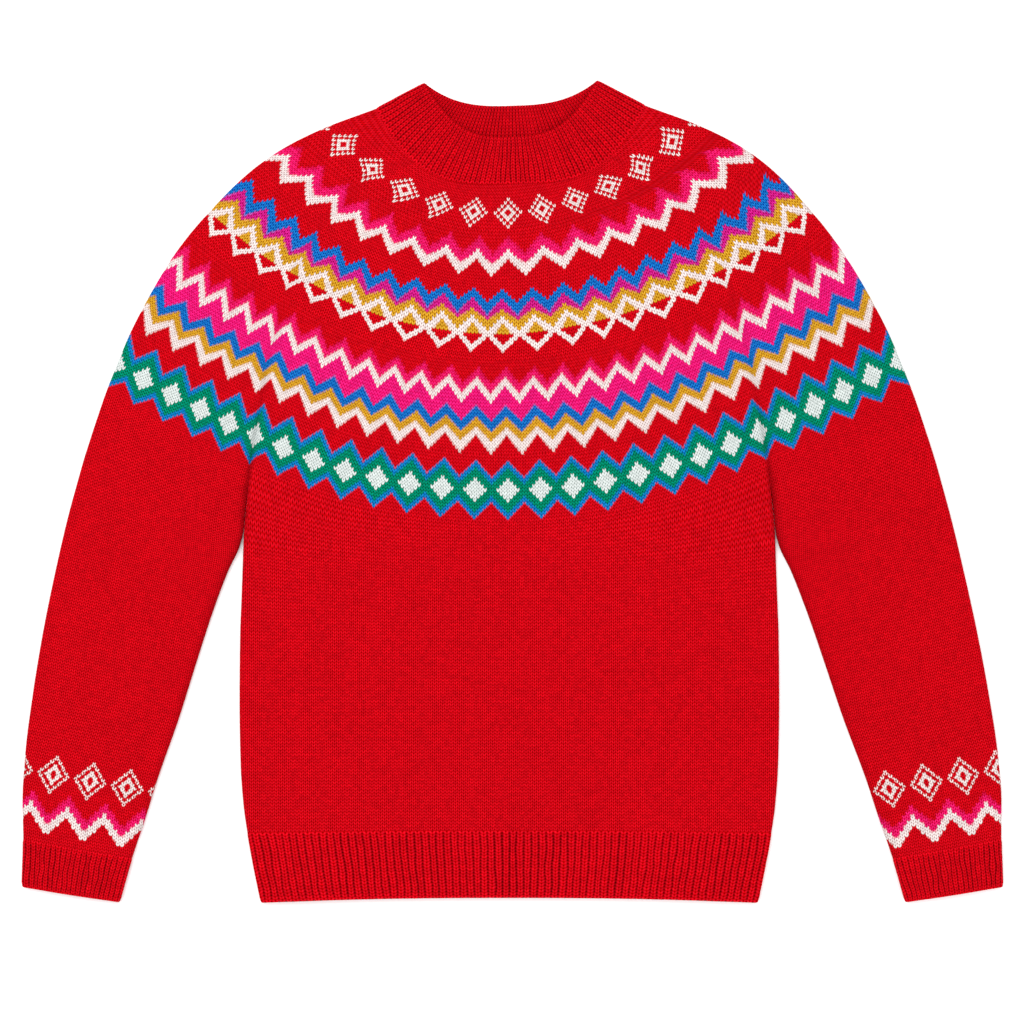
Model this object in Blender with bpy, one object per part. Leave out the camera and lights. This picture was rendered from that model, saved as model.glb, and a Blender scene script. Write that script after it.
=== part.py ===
"""Fair isle jumper, laid flat on its back with its neck towards +Y and its front up.

The cloth is one wall of knitting. Every piece is that wall lofted through knitted rows. A row is a line in plan,
carried on the top layer (the front) and on the bottom layer (the back), which lies flat on the floor at z = 0.
Where the cloth folds over at an edge, the row turns through a half circle from one layer to the other.
Lengths are in metres. The origin lies on the floor under the middle of the whole garment.
"""

import math
from collections import namedtuple

import bmesh
import bpy
from mathutils import Vector

NAME = "fair_isle_jumper"

# Cloth
WALL = 0.0026  # thickness of the knitting
FOLD_HEIGHT = 0.0062  # height of the two layers where the cloth folds over at an edge
FULL_HEIGHT = 0.0084  # height of the two layers well inside the edges
RISE = 0.034  # distance from an edge over which the full height is reached
SEAM_GAP = 0.0003  # space between two pieces that are sewn together
NECK_GAP = 0.00045  # the same round the neck, where the seam curves tightly

# How the garment lies: the rows below are drawn about the body's own middle line
LEAN = 0.0026  # the body lies this far to -X of the middle between the cuffs
MIDDLE_Y = 0.0006  # height of the whole garment's middle in the rows below
NECK_SHIFT = 0.0012  # the neck lies this far to +X of the body's middle line
TILT = 0.0018  # the right shoulder lies higher than the left by up to twice this
TILT_Y = (0.19, 0.30)  # heights between which the shift and the tilt set in
TILT_REACH = 0.05  # distance from the middle line at which half the tilt is reached

# Knitted rows are numbered from the neck seam outwards, down the front and down the sleeves alike.
ROW_HEIGHT = 0.00289
HEM_RIB_ROW = 190  # the hem rib starts here
HEM_END_ROW = 210
CUFF_RIB_ROW = 233  # the cuff rib starts here
CUFF_END_ROW = 247
CREASE_ROWS = (45, 105)  # the armhole crease deepens from the first row to the second
CREASE_LEAN = 0.0002  # the sleeve stands this much further off the crease than its gap

# Yoke: each row swings from the outline's edge down to centre_y at the middle of the front. seam_x is where the
# raglan seam crosses it, and bend is the power of its curve.
Yoke = namedtuple("Yoke", "row centre_y edge_x edge_y seam_x bend")
YOKE = [
    Yoke(0.0, 0.2618, 0.1147, 0.3277, 0.0833, 3.60),
    Yoke(8.5, 0.2372, 0.1615, 0.3102, 0.1165, 2.45),
    Yoke(19.0, 0.2069, 0.1963, 0.2924, 0.1420, 2.25),
    Yoke(31.0, 0.1722, 0.2227, 0.2731, 0.1632, 2.12),
    Yoke(50.0, 0.1173, 0.2626, 0.2316, 0.1862, 2.05),
    Yoke(57.0, 0.0971, 0.2848, 0.2027, 0.1951, 2.10),
    Yoke(68.0, 0.0653, 0.3068, 0.1662, 0.2044, 1.90),
    Yoke(80.0, 0.0306, 0.3230, 0.1347, 0.2104, 1.75),
    Yoke(90.0, 0.0017, 0.3340, 0.1084, 0.2159, 1.90),
    Yoke(100.0, -0.0272, 0.3434, 0.0846, 0.2204, 1.95),
]
BACK_LIFT = 0.0259  # the back's rows stand this much higher at the neck seam
BACK_LIFT_ROWS = 60  # and no higher than the front's from this row on
BACK_BEND = 3.0  # power of the back's curve at the neck seam

# Body below the yoke: side_x and side_y are the end of the row, at the raglan seam above the underarm and at the
# side fold below it. turn is 0 at a flat seam and 1 at a full fold.
Body = namedtuple("Body", "row centre_y side_x side_y turn")
BODY = [
    Body(105.0, -0.0416, 0.2237, -0.0098, 0.0),
    Body(109.5, -0.0549, 0.2260, -0.0344, 0.5),
    Body(111.0, -0.0591, 0.2264, -0.0438, 1.0),
    Body(117.0, -0.0761, 0.2271, -0.0650, 1.0),
    Body(124.0, -0.0965, 0.2280, -0.0897, 1.0),
    Body(134.0, -0.1254, 0.2292, -0.1220, 1.0),
    Body(152.0, -0.1772, 0.2297, -0.1764, 1.0),
    Body(170.0, -0.2295, 0.2288, -0.2299, 1.0),
    Body(182.0, -0.2639, 0.2264, -0.2652, 1.0),
    Body(190.0, -0.2873, 0.2230, -0.2894, 1.0),
    Body(200.0, -0.3158, 0.2176, -0.3192, 1.0),
    Body(210.0, -0.3447, 0.2114, -0.3493, 1.0),
]
BODY_BEND = 2.4  # power of the curve of the body's rows

# Sleeve below the yoke: each row runs from its outer fold to its inner end.
Sleeve = namedtuple("Sleeve", "row outer_x outer_y inner_x inner_y turn")
SLEEVE = [
    Sleeve(112.0, 0.3544, 0.0523, 0.2243, -0.0123, 0.0),
    Sleeve(120.5, 0.3622, 0.0279, 0.2266, -0.0347, 0.5),
    Sleeve(125.0, 0.3659, 0.0149, 0.2292, -0.0455, 1.0),
    Sleeve(138.0, 0.3765, -0.0242, 0.2391, -0.0667, 1.0),
    Sleeve(155.0, 0.3876, -0.0718, 0.2525, -0.1016, 1.0),
    Sleeve(172.0, 0.3976, -0.1194, 0.2673, -0.1458, 1.0),
    Sleeve(190.0, 0.4066, -0.1704, 0.2825, -0.1925, 1.0),
    Sleeve(208.0, 0.4139, -0.2231, 0.3010, -0.2435, 1.0),
    Sleeve(222.0, 0.4166, -0.2634, 0.3131, -0.2812, 1.0),
    Sleeve(233.0, 0.4162, -0.2950, 0.3234, -0.3114, 1.0),
    Sleeve(247.0, 0.4173, -0.3358, 0.3341, -0.3489, 1.0),
]
LEAN_Y = (-0.02, -0.34)  # the sleeves lean back to the middle between these heights

# Neckband, from its seam (the yoke's first row) up to its edge
NECK_EDGE_X = 0.0731  # where the neckband folds over at its upper edge
NECK_EDGE_Y = 0.3493
NECK_FRONT_Y = 0.3018  # middle of the front edge
NECK_BACK_Y = 0.3292  # middle of the back edge
NECK_BEND = 2.9  # power of the edge's curve
NECK_DEPTH = 0.0400  # height of the rib at the middle of the front

# Ribs, raised over the cloth's outer face
RIB_LIFT = 0.0008
HEM_RIBS = 72  # across the front
NECK_RIBS = 50  # across the front
CUFF_RIBS = 20  # across the top of a cuff

# Mesh
TURN_STEPS = 3  # facets in a quarter turn at a fold
LINE_STEPS = 96  # samples along a row's line
PANEL_STEPS = 22  # facets across a panel
SLEEVE_STEPS = 8  # facets across one layer of a sleeve
PLAIN_STEPS = 12  # facets across an inner face
RIB_PHASES = (0.0, 0.3, 0.7)  # valley and the two shoulders of a rib

RED = (0.604, 0.0012, 0.0070)
RIB_RED = (0.552, 0.0006, 0.0052)

LEFT, RIGHT = -1, 1
TOP, BOTTOM = 1, -1


def ease(value):
    """Smooth step from 0 to 1."""
    value = min(1.0, max(0.0, value))
    return value * value * (3.0 - 2.0 * value)


def between(table, row):
    """The table's entry at a row, with its numbers read between the two entries around it."""
    for low, high in zip(table, table[1:]):
        if row <= high.row:
            share = (row - low.row) / (high.row - low.row)
            return type(low)(*(a + (b - a) * share for a, b in zip(low, high)))
    return table[-1]


class Line:
    """A row's line in plan, read by the distance along it. Beyond its ends it runs straight on."""

    def __init__(self, points):
        self.points = points
        self.sums = [0.0]
        for a, b in zip(points, points[1:]):
            self.sums.append(self.sums[-1] + (b - a).length)
        self.length = self.sums[-1]

    def at(self, distance):
        index = 1
        while index < len(self.sums) - 1 and self.sums[index] < distance:
            index += 1
        start, end = self.points[index - 1], self.points[index]
        share = (distance - self.sums[index - 1]) / (self.sums[index] - self.sums[index - 1])
        return start.lerp(end, share) if 0.0 <= share <= 1.0 else start + (end - start) * share


# A row of one layer: its line, and the height and turn of the cloth at the line's start and end.
Row = namedtuple("Row", "line start_height start_turn end_height end_turn")


def curve(half, end_y, centre_y, bend, start_x, end_x):
    """Line of a curved row between two x, from a curve that reaches end_y at x = half."""
    points = []
    for step in range(LINE_STEPS + 1):
        x = start_x + (end_x - start_x) * step / LINE_STEPS
        points.append(Vector((x, centre_y + (end_y - centre_y) * abs(x / half) ** bend)))
    return Line(points)


def settle(plan):
    """Moves a point of the rows to where the garment lies."""
    low, high = TILT_Y
    up = ease((plan.y - low) / (high - low))
    x = plan.x - LEAN + NECK_SHIFT * up
    return x, plan.y - MIDDLE_Y + TILT * up * plan.x / (abs(plan.x) + TILT_REACH)


def crease_height(row):
    """Height of the two layers at the raglan seam, which sinks into a crease towards the underarm."""
    first, last = CREASE_ROWS
    return FULL_HEIGHT - (FULL_HEIGHT - FOLD_HEIGHT) * ease((row - first) / (last - first))


def yoke_curve(entry, layer):
    """Middle height and bend of a yoke row on one layer."""
    if layer == TOP:
        return entry.centre_y, entry.bend
    fade = 1.0 - ease(entry.row / BACK_LIFT_ROWS)
    return entry.centre_y + BACK_LIFT * fade, entry.bend + (BACK_BEND - YOKE[0].bend) * fade


def panel_row(row, layer):
    """Row of the front (TOP) or back (BOTTOM), from left to right."""
    height = crease_height(row)
    if row <= YOKE[-1].row:
        entry = between(YOKE, row)
        centre_y, bend = yoke_curve(entry, layer)
        end = entry.seam_x - SEAM_GAP / 2
        line = curve(entry.edge_x, entry.edge_y, centre_y, bend, -end, end)
        return Row(line, height, 0.0, height, 0.0)
    entry = between(BODY, row)
    end = entry.side_x - (1.0 - entry.turn) * SEAM_GAP / 2
    line = curve(entry.side_x, entry.side_y, entry.centre_y, BODY_BEND, -end, end)
    return Row(line, height, entry.turn, height, entry.turn)


def sleeve_row(row, side, layer):
    """Row of one layer of a sleeve, from its inner end to its outer fold."""
    height = crease_height(row)
    if row <= YOKE[-1].row:
        entry = between(YOKE, row)
        centre_y, bend = yoke_curve(entry, layer)
        start = entry.seam_x + SEAM_GAP / 2
        line = curve(entry.edge_x, entry.edge_y, centre_y, bend, side * start, side * entry.edge_x)
        return Row(line, height, 0.0, FOLD_HEIGHT, 1.0)
    entry = between(SLEEVE, row)
    lean_start, lean_end = LEAN_Y
    gap = (1.0 - entry.turn) * SEAM_GAP / 2 + CREASE_LEAN

    def place(x, y):
        return Vector((side * x + LEAN * ease((y - lean_start) / (lean_end - lean_start)), y))

    line = Line([place(entry.inner_x + gap, entry.inner_y), place(entry.outer_x, entry.outer_y)])
    return Row(line, height, entry.turn, FOLD_HEIGHT, 1.0)


def neck_row(share, layer):
    """Row of the neckband, from left to right. share is 0 at its seam and 1 at its edge."""
    seam = YOKE[0]
    seam_y, seam_bend = yoke_curve(seam, layer)
    edge_y = NECK_FRONT_Y if layer == TOP else NECK_BACK_Y
    half = seam.edge_x + (NECK_EDGE_X - seam.edge_x) * share
    end_y = seam.edge_y + (NECK_EDGE_Y - seam.edge_y) * share
    centre_y = seam_y + (edge_y - seam_y) * share
    line = curve(half, end_y, centre_y, seam_bend + (NECK_BEND - seam_bend) * share, -half, half)
    return Row(line, FOLD_HEIGHT, 1.0, FOLD_HEIGHT, 1.0)


def rows_between(table, first, last):
    """Row numbers of a table that lie between two rows, with those two rows at the ends."""
    return [first] + [entry.row for entry in table if first < entry.row < last] + [last]


def quarter_length(height):
    """Length of the cloth's outer face in the quarter turn from a layer to the middle of a fold."""
    return height / 2 * math.pi / 2


def face_length(row):
    """Length of a row's outer face, its two quarter turns included."""
    radii = (row.start_height + row.end_height) / 2
    return row.line.length - radii + quarter_length(row.start_height) + quarter_length(row.end_height)


def place_point(row, layer, distance, lift):
    """Point of a row at a distance along its outer face, lifted off that face (inwards if lift is negative)."""
    start_quarter = quarter_length(row.start_height)
    total = face_length(row)
    from_end = distance > total / 2
    height, turn = (row.end_height, row.end_turn) if from_end else (row.start_height, row.start_turn)
    radius = height / 2
    run = total - distance if from_end else distance
    quarter = quarter_length(height)
    if run < quarter:
        angle = math.pi / 2 * (1.0 - run / quarter)
        folded = radius - (radius + lift) * math.sin(angle)
        flat = radius * run / quarter
        along = flat + (folded - flat) * turn
        rise = radius + lift
        rise += ((radius + lift) * math.cos(angle) - rise) * turn
        off_middle = turn * SEAM_GAP / 2
        rise = max(rise, off_middle)
        along = row.line.length - along if from_end else along
        return Vector((*settle(row.line.at(along)), radius + layer * rise))
    along = distance - start_quarter + row.start_height / 2
    plan = settle(row.line.at(along))
    if layer == BOTTOM:
        return Vector((*plan, -lift))
    from_start = along - row.start_height / 2
    to_end = row.line.length - row.end_height / 2 - along
    full = FULL_HEIGHT
    full -= (full - row.start_height) * (1.0 - ease(from_start / RISE))
    full -= (full - row.end_height) * (1.0 - ease(to_end / RISE))
    return Vector((*plan, max(full, FOLD_HEIGHT) + lift))


def stops(row, steps):
    """Distances along a row's outer face: the facets of each quarter turn, and steps even facets between them."""
    total = face_length(row)
    start, end = quarter_length(row.start_height), quarter_length(row.end_height)
    found = [start * step / TURN_STEPS for step in range(TURN_STEPS)]
    found += [start + (total - start - end) * step / steps for step in range(steps + 1)]
    found += [total - end * step / TURN_STEPS for step in reversed(range(TURN_STEPS))]
    return found


def rib_stops(row, ribs):
    """Distances along a row's outer face at the valleys and shoulders of its ribs, with the lift of each."""
    total = face_length(row)
    found = []
    for rib in range(ribs):
        for phase in RIB_PHASES:
            found.append((total * (rib + phase) / ribs, RIB_LIFT if phase else 0.0))
    return found + [(total, 0.0)]


def zip_strips(first, second):
    """Triangles between two chains of (share, vertex), whatever their counts."""
    faces = []
    i = j = 0
    while i < len(first) - 1 or j < len(second) - 1:
        step_first = j == len(second) - 1 or (i < len(first) - 1 and first[i + 1][0] <= second[j + 1][0])
        if step_first:
            faces.append((first[i][1], first[i + 1][1], second[j][1]))
            i += 1
        else:
            faces.append((first[i][1], second[j + 1][1], second[j][1]))
            j += 1
    return faces


def chain(vertices, shares=None):
    """A chain of vertices with the share of the way at which each lies."""
    shares = shares or [index / (len(vertices) - 1) for index in range(len(vertices))]
    return list(zip(shares, vertices))


def skin(bm, rows, closed):
    """One face of the wall: a grid of vertices through rows of (share, point), closed to a ring or open."""
    grid = [[bm.verts.new(point) for _, point in row] for row in rows]
    shares = [[share for share, _ in row] for row in rows]
    if closed:
        grid = [row + row[:1] for row in grid]
        shares = [row + [1.0] for row in shares]
    for upper, lower in zip(grid, grid[1:]):
        for column in range(len(upper) - 1):
            bm.faces.new((upper[column], upper[column + 1], lower[column + 1], lower[column]))
    return grid, shares


def make_wall(name, outer_rows, inner_rows, closed, colour):
    """A closed body from the rows of its outer and inner faces, joined round their borders."""
    bm = bmesh.new()
    outer, outer_shares = skin(bm, outer_rows, closed)
    inner, inner_shares = skin(bm, inner_rows, closed)
    borders = [(chain(outer[end], outer_shares[end]), chain(inner[end], inner_shares[end])) for end in (0, -1)]
    if not closed:
        for side in (0, -1):
            borders.append((chain([row[side] for row in outer]), chain([row[side] for row in inner])))
    for first, second in borders:
        for face in zip_strips(first, second):
            bm.faces.new(face)
    bmesh.ops.recalc_face_normals(bm, faces=bm.faces)
    mesh = bpy.data.meshes.new(name)
    bm.to_mesh(mesh)
    bm.free()
    mesh.shade_smooth()
    mesh.set_sharp_from_angle(angle=math.radians(50.0))
    material = bpy.data.materials.new(name + "_knit")
    material.use_nodes = True
    shader = material.node_tree.nodes["Principled BSDF"]
    shader.inputs["Base Color"].default_value = (*colour, 1.0)
    shader.inputs["Roughness"].default_value = 0.92
    shader.inputs["Metallic"].default_value = 0.0
    mesh.materials.append(material)
    piece = bpy.data.objects.new(name, mesh)
    collection.objects.link(piece)


def face_row(row, layer, distances, lift):
    """A row's points on one face of the wall, each with its share of the way."""
    total = face_length(row)
    return [(distance / total, place_point(row, layer, distance, lift)) for distance in distances]


def around(top_row, bottom_row, top_points, bottom_points):
    """Joins a row's points over the top layer and back under it, with shares from 0 to 1."""
    top_length, bottom_length = face_length(top_row), face_length(bottom_row)
    whole = top_length + bottom_length
    joined = [(share * top_length / whole, point) for share, point in top_points]
    for share, point in reversed(bottom_points):
        joined.append(((top_length + (1.0 - share) * bottom_length) / whole, point))
    return joined


def make_panel(name, layer):
    """The front or the back, from the neck seam to the hem rib."""
    last = HEM_RIB_ROW - SEAM_GAP / 2 / ROW_HEIGHT
    outer, inner = [], []
    for number in rows_between(YOKE + BODY, 0.0, last):
        row = panel_row(number, layer)
        outer.append(face_row(row, layer, stops(row, PANEL_STEPS), 0.0))
        inner.append(face_row(row, layer, stops(row, PLAIN_STEPS), -WALL))
    make_wall(name, outer, inner, False, RED)


def make_sleeve(name, side):
    """A sleeve: one strip from the front's raglan seam round the outer fold to the back's, closed at the underarm."""
    last = CUFF_RIB_ROW - SEAM_GAP / 2 / ROW_HEIGHT
    faces = ([], [])
    for number in rows_between(YOKE + SLEEVE, 0.0, last):
        top, bottom = (sleeve_row(number, side, layer) for layer in (TOP, BOTTOM))
        for face, steps, lift in ((0, SLEEVE_STEPS, 0.0), (1, SLEEVE_STEPS // 2, -WALL)):
            over = face_row(top, TOP, stops(top, steps), lift)
            under = face_row(bottom, BOTTOM, stops(bottom, steps), lift)
            faces[face].append(around(top, bottom, over, under[:-1]))
    make_wall(name, faces[0], faces[1], False, RED)


def make_hem_rib(name, layer):
    """Half of the hem's rib. The half that rests on the floor is flat underneath."""
    first = HEM_RIB_ROW + SEAM_GAP / 2 / ROW_HEIGHT
    outer, inner = [], []
    for number in rows_between(BODY, first, HEM_END_ROW):
        row = panel_row(number, layer)
        if layer == TOP:
            total = face_length(row)
            lifted = rib_stops(row, HEM_RIBS)
            outer.append([(at / total, place_point(row, layer, at, lift)) for at, lift in lifted])
        else:
            outer.append(face_row(row, layer, stops(row, PLAIN_STEPS), 0.0))
        inner.append(face_row(row, layer, stops(row, PLAIN_STEPS), -WALL))
    make_wall(name, outer, inner, False, RIB_RED)


def make_ribbed_ring(name, ring_rows, ribs, steps):
    """A closed ring of rib, raised on top. ring_rows has the top and bottom layer's row at each height."""
    outer, inner = [], []
    for top, bottom in ring_rows:
        total = face_length(top)
        lifted = [(at / total, place_point(top, TOP, at, lift)) for at, lift in rib_stops(top, ribs)]
        under = face_row(bottom, BOTTOM, stops(bottom, steps), 0.0)
        outer.append(around(top, bottom, lifted, under[1:-1]))
        over = face_row(top, TOP, stops(top, steps), -WALL)
        under = face_row(bottom, BOTTOM, stops(bottom, steps), -WALL)
        inner.append(around(top, bottom, over, under[1:-1]))
    make_wall(name, outer, inner, True, RIB_RED)


def make_cuff_rib(name, side):
    first = CUFF_RIB_ROW + SEAM_GAP / 2 / ROW_HEIGHT
    rows = [[sleeve_row(number, side, layer) for layer in (TOP, BOTTOM)] for number in (first, CUFF_END_ROW)]
    make_ribbed_ring(name, rows, CUFF_RIBS, SLEEVE_STEPS // 2)


def make_neckband(name):
    shares = (NECK_GAP / NECK_DEPTH, 0.5, 1.0)
    rows = [[neck_row(share, layer) for layer in (TOP, BOTTOM)] for share in shares]
    make_ribbed_ring(name, rows, NECK_RIBS, PANEL_STEPS)


for old in list(bpy.data.objects):
    bpy.data.objects.remove(old)
collection = bpy.data.collections.new(NAME)
bpy.context.scene.collection.children.link(collection)

make_panel("front", TOP)
make_panel("back", BOTTOM)
make_sleeve("sleeve_left", LEFT)
make_sleeve("sleeve_right", RIGHT)
make_hem_rib("hem_rib_front", TOP)
make_hem_rib("hem_rib_back", BOTTOM)
make_cuff_rib("cuff_rib_left", LEFT)
make_cuff_rib("cuff_rib_right", RIGHT)
make_neckband("neckband")
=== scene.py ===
# %% [markdown]
# # A fair isle jumper, laid flat on its back
#
# The real jumper is knitted wool: a round patterned yoke, a plain body and plain sleeves with a patterned
# band over the cuffs, and 1x1 rib at the neck, the hem and the cuffs. This lesson dresses its CAD solids.
# Each piece is rebuilt as a finer shell on the form of its solid, and the pattern is worked out stitch by
# stitch inside the material, so that it follows the knitted rows.

import math
from collections import namedtuple
from functools import partial

import bmesh
import bpy
import numpy as np
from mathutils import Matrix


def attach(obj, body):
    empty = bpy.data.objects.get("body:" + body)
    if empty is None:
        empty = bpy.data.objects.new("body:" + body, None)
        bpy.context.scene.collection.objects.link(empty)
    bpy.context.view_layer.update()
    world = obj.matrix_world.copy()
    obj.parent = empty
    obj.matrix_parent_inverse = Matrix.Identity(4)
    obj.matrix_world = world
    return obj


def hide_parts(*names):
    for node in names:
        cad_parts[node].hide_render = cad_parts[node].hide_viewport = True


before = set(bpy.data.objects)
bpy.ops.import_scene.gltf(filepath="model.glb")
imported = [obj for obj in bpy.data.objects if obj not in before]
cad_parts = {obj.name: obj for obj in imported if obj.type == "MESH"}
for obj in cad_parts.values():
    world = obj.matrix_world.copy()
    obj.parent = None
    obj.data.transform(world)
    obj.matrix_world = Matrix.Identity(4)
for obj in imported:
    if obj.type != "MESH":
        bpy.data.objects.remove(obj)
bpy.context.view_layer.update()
print("CAD nodes:", sorted(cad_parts))

# %% [markdown]
# ## Sizes of the cloth
#
# A knitted wall is soft, but it has real sizes: how thick it is, how high two layers stand where the cloth
# folds over at an edge, and how tall a knitted row is. Every piece reads the same few values, in metres, so
# the fine shells land where the solids are.

# %% Sizes of the cloth
WALL = 0.0026  # thickness of the knitting
FOLD_HEIGHT = 0.0062  # height of the two layers where the cloth folds over at an edge
FULL_HEIGHT = 0.0084  # height of the two layers well inside the edges
RISE = 0.034  # distance from an edge over which the full height is reached
SEAM_GAP = 0.00006  # pieces that are sewn together all but touch

LEAN = 0.0026  # the body lies this far to -X of the middle between the cuffs
MIDDLE_Y = 0.0006  # height of the whole garment's middle in the rows below
NECK_SHIFT = 0.0012  # the neck lies this far to +X of the body's middle line
TILT = 0.0018  # the right shoulder lies higher than the left by up to twice this
TILT_Y = (0.19, 0.30)  # heights between which the shift and the tilt set in
TILT_REACH = 0.05  # distance from the middle line at which half the tilt is reached
LEAN_Y = (-0.02, -0.34)  # the sleeves lean back to the middle between these heights

ROW_HEIGHT = 0.00289
HEM_RIB_ROW, HEM_END_ROW = 190, 210
CUFF_RIB_ROW, CUFF_END_ROW = 233, 247
CREASE_ROWS = (45, 105)  # the armhole crease deepens from the first row to the second
CREASE_LEAN = 0.0002  # the sleeve stands this much further off the crease than its gap

TOP, BOTTOM = 1, -1
LEFT, RIGHT = -1, 1
print("a row of stitches is", ROW_HEIGHT * 1000, "mm tall")

# %% [markdown]
# ## Rows of knitting
#
# A yoke jumper is knitted in rounds, so its rows are the natural lines to build on: a row swings down from
# one shoulder, under the neck and up to the other. They could be drawn as dozens of curves by hand. It is
# shorter to write each as a power curve with a few named numbers, and to let a smooth reading between them
# make the rest. Rows are counted from the neck seam outwards, down the front and down the sleeves alike.

# %% Rows of the yoke, the body and the sleeves
Yoke = namedtuple("Yoke", "row centre_y edge_x edge_y seam_x bend")
YOKE = [
    Yoke(0.0, 0.2618, 0.1147, 0.3277, 0.0833, 3.60),
    Yoke(8.5, 0.2372, 0.1615, 0.3102, 0.1165, 2.15),
    Yoke(19.0, 0.2069, 0.1963, 0.2924, 0.1420, 2.25),
    Yoke(31.0, 0.1722, 0.2227, 0.2731, 0.1632, 2.12),
    Yoke(50.0, 0.1173, 0.2626, 0.2316, 0.1862, 2.05),
    Yoke(57.0, 0.0971, 0.2848, 0.2027, 0.1951, 2.10),
    Yoke(68.0, 0.0653, 0.3068, 0.1662, 0.2044, 1.90),
    Yoke(80.0, 0.0306, 0.3230, 0.1347, 0.2104, 1.75),
    Yoke(90.0, 0.0017, 0.3340, 0.1084, 0.2159, 1.90),
    Yoke(100.0, -0.0272, 0.3434, 0.0846, 0.2204, 1.95),
]
BACK_LIFT = 0.0259  # the back's rows stand this much higher at the neck seam
BACK_LIFT_ROWS = 60  # and no higher than the front's from this row on
BACK_BEND = 3.0  # power of the back's curve at the neck seam

Body = namedtuple("Body", "row centre_y side_x side_y turn")
BODY = [
    Body(105.0, -0.0416, 0.2237, -0.0098, 0.0),
    Body(109.5, -0.0549, 0.2260, -0.0344, 0.5),
    Body(111.0, -0.0591, 0.2264, -0.0438, 1.0),
    Body(117.0, -0.0761, 0.2271, -0.0650, 1.0),
    Body(124.0, -0.0965, 0.2280, -0.0897, 1.0),
    Body(134.0, -0.1254, 0.2292, -0.1220, 1.0),
    Body(152.0, -0.1772, 0.2297, -0.1764, 1.0),
    Body(170.0, -0.2295, 0.2288, -0.2299, 1.0),
    Body(182.0, -0.2639, 0.2264, -0.2652, 1.0),
    Body(190.0, -0.2873, 0.2230, -0.2894, 1.0),
    Body(200.0, -0.3158, 0.2176, -0.3192, 1.0),
    Body(210.0, -0.3447, 0.2114, -0.3493, 1.0),
]
BODY_BEND = 2.4  # power of the curve of the body's rows

Sleeve = namedtuple("Sleeve", "row outer_x outer_y inner_x inner_y turn")
SLEEVE = [
    Sleeve(112.0, 0.3544, 0.0523, 0.2243, -0.0123, 0.0),
    Sleeve(120.5, 0.3622, 0.0279, 0.2266, -0.0347, 0.5),
    Sleeve(125.0, 0.3659, 0.0149, 0.2292, -0.0455, 1.0),
    Sleeve(138.0, 0.3765, -0.0242, 0.2391, -0.0667, 1.0),
    Sleeve(155.0, 0.3876, -0.0718, 0.2525, -0.1016, 1.0),
    Sleeve(172.0, 0.3976, -0.1194, 0.2673, -0.1458, 1.0),
    Sleeve(190.0, 0.4066, -0.1704, 0.2825, -0.1925, 1.0),
    Sleeve(208.0, 0.4139, -0.2231, 0.3010, -0.2435, 1.0),
    Sleeve(222.0, 0.4166, -0.2634, 0.3131, -0.2812, 1.0),
    Sleeve(233.0, 0.4162, -0.2950, 0.3234, -0.3114, 1.0),
    Sleeve(247.0, 0.4173, -0.3358, 0.3341, -0.3489, 1.0),
]

NECK_EDGE_X, NECK_EDGE_Y = 0.0731, 0.3493  # where the neckband folds over at its upper edge
NECK_FRONT_Y, NECK_BACK_Y = 0.3018, 0.3292  # middle of the front and of the back edge
NECK_BEND = 2.9
NECK_DEPTH = 0.0400  # height of the rib at the middle of the front
print(len(YOKE), "yoke rows,", len(BODY), "body rows and", len(SLEEVE), "sleeve rows are given")

# %% [markdown]
# ## Reading between the rows
#
# Straight reading between the given rows would leave a faint kink at each of them, which a low light shows.
# A smooth curve through them can swing past the values it is given. The reading below is a cubic that takes
# its slope from both neighbours and goes level where they disagree, so it is smooth and never swings past.


# %% Smooth reading between given rows
def ease(value):
    """Smooth step from 0 to 1."""
    value = np.clip(value, 0.0, 1.0)
    return value * value * (3.0 - 2.0 * value)


def glide(rows, values, at):
    """Values that are given at some rows, read at others along a smooth curve that never swings past them."""
    rows, values, at = (np.asarray(item, float) for item in (rows, values, at))
    column = (-1,) + (1,) * (values.ndim - 1)
    steps = np.diff(rows).reshape(column)
    slopes = np.diff(values, axis=0) / steps
    before, after = slopes[:-1], slopes[1:]
    agree = before * after > 0.0
    inner = np.where(agree, 2.0 * before * after / np.where(agree, before + after, 1.0), 0.0)
    slopes = np.concatenate([slopes[:1], inner, slopes[-1:]])
    index = np.clip(np.searchsorted(rows, at, side="right") - 1, 0, len(rows) - 2)
    step = steps[index]
    share = (at - rows[index]).reshape(column) / step
    rest = 1.0 - share
    low = rest * rest * ((1.0 + 2.0 * share) * values[index] + share * step * slopes[index])
    high = share * share * ((3.0 - 2.0 * share) * values[index + 1] - rest * step * slopes[index + 1])
    return low + high


print("half way from row 0 to row 1:", glide([0, 1], [0.0, 4.0], [0.5]))

# %% [markdown]
# ## A row as a line in plan
#
# Each given row becomes a line of evenly spaced points, from left to right on the body and from the armhole
# to the outer fold on a sleeve. With the same number of points in every row, the lines can be blended row
# by row, which also carries the cloth smoothly from the yoke's swinging rows to the straight rows below the
# underarm.

# %% Lines of the rows
LINE_POINTS = 141
Key = namedtuple("Key", "row line heights turns")


def even_line(points):
    """Points spaced evenly along a line."""
    points = np.asarray(points, float)
    sums = np.concatenate([[0.0], np.cumsum(np.hypot(*np.diff(points, axis=0).T))])
    even = np.linspace(0.0, sums[-1], LINE_POINTS)
    return np.stack([np.interp(even, sums, points[:, axis]) for axis in (0, 1)], axis=1)


def swung_line(half, end_y, centre_y, bend, start_x, end_x):
    """Line of a curved row between two x, from a curve that reaches end_y at x = half."""
    x = np.linspace(start_x, end_x, 4 * LINE_POINTS)
    return even_line(np.stack([x, centre_y + (end_y - centre_y) * np.abs(x / half) ** bend], axis=1))


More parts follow.
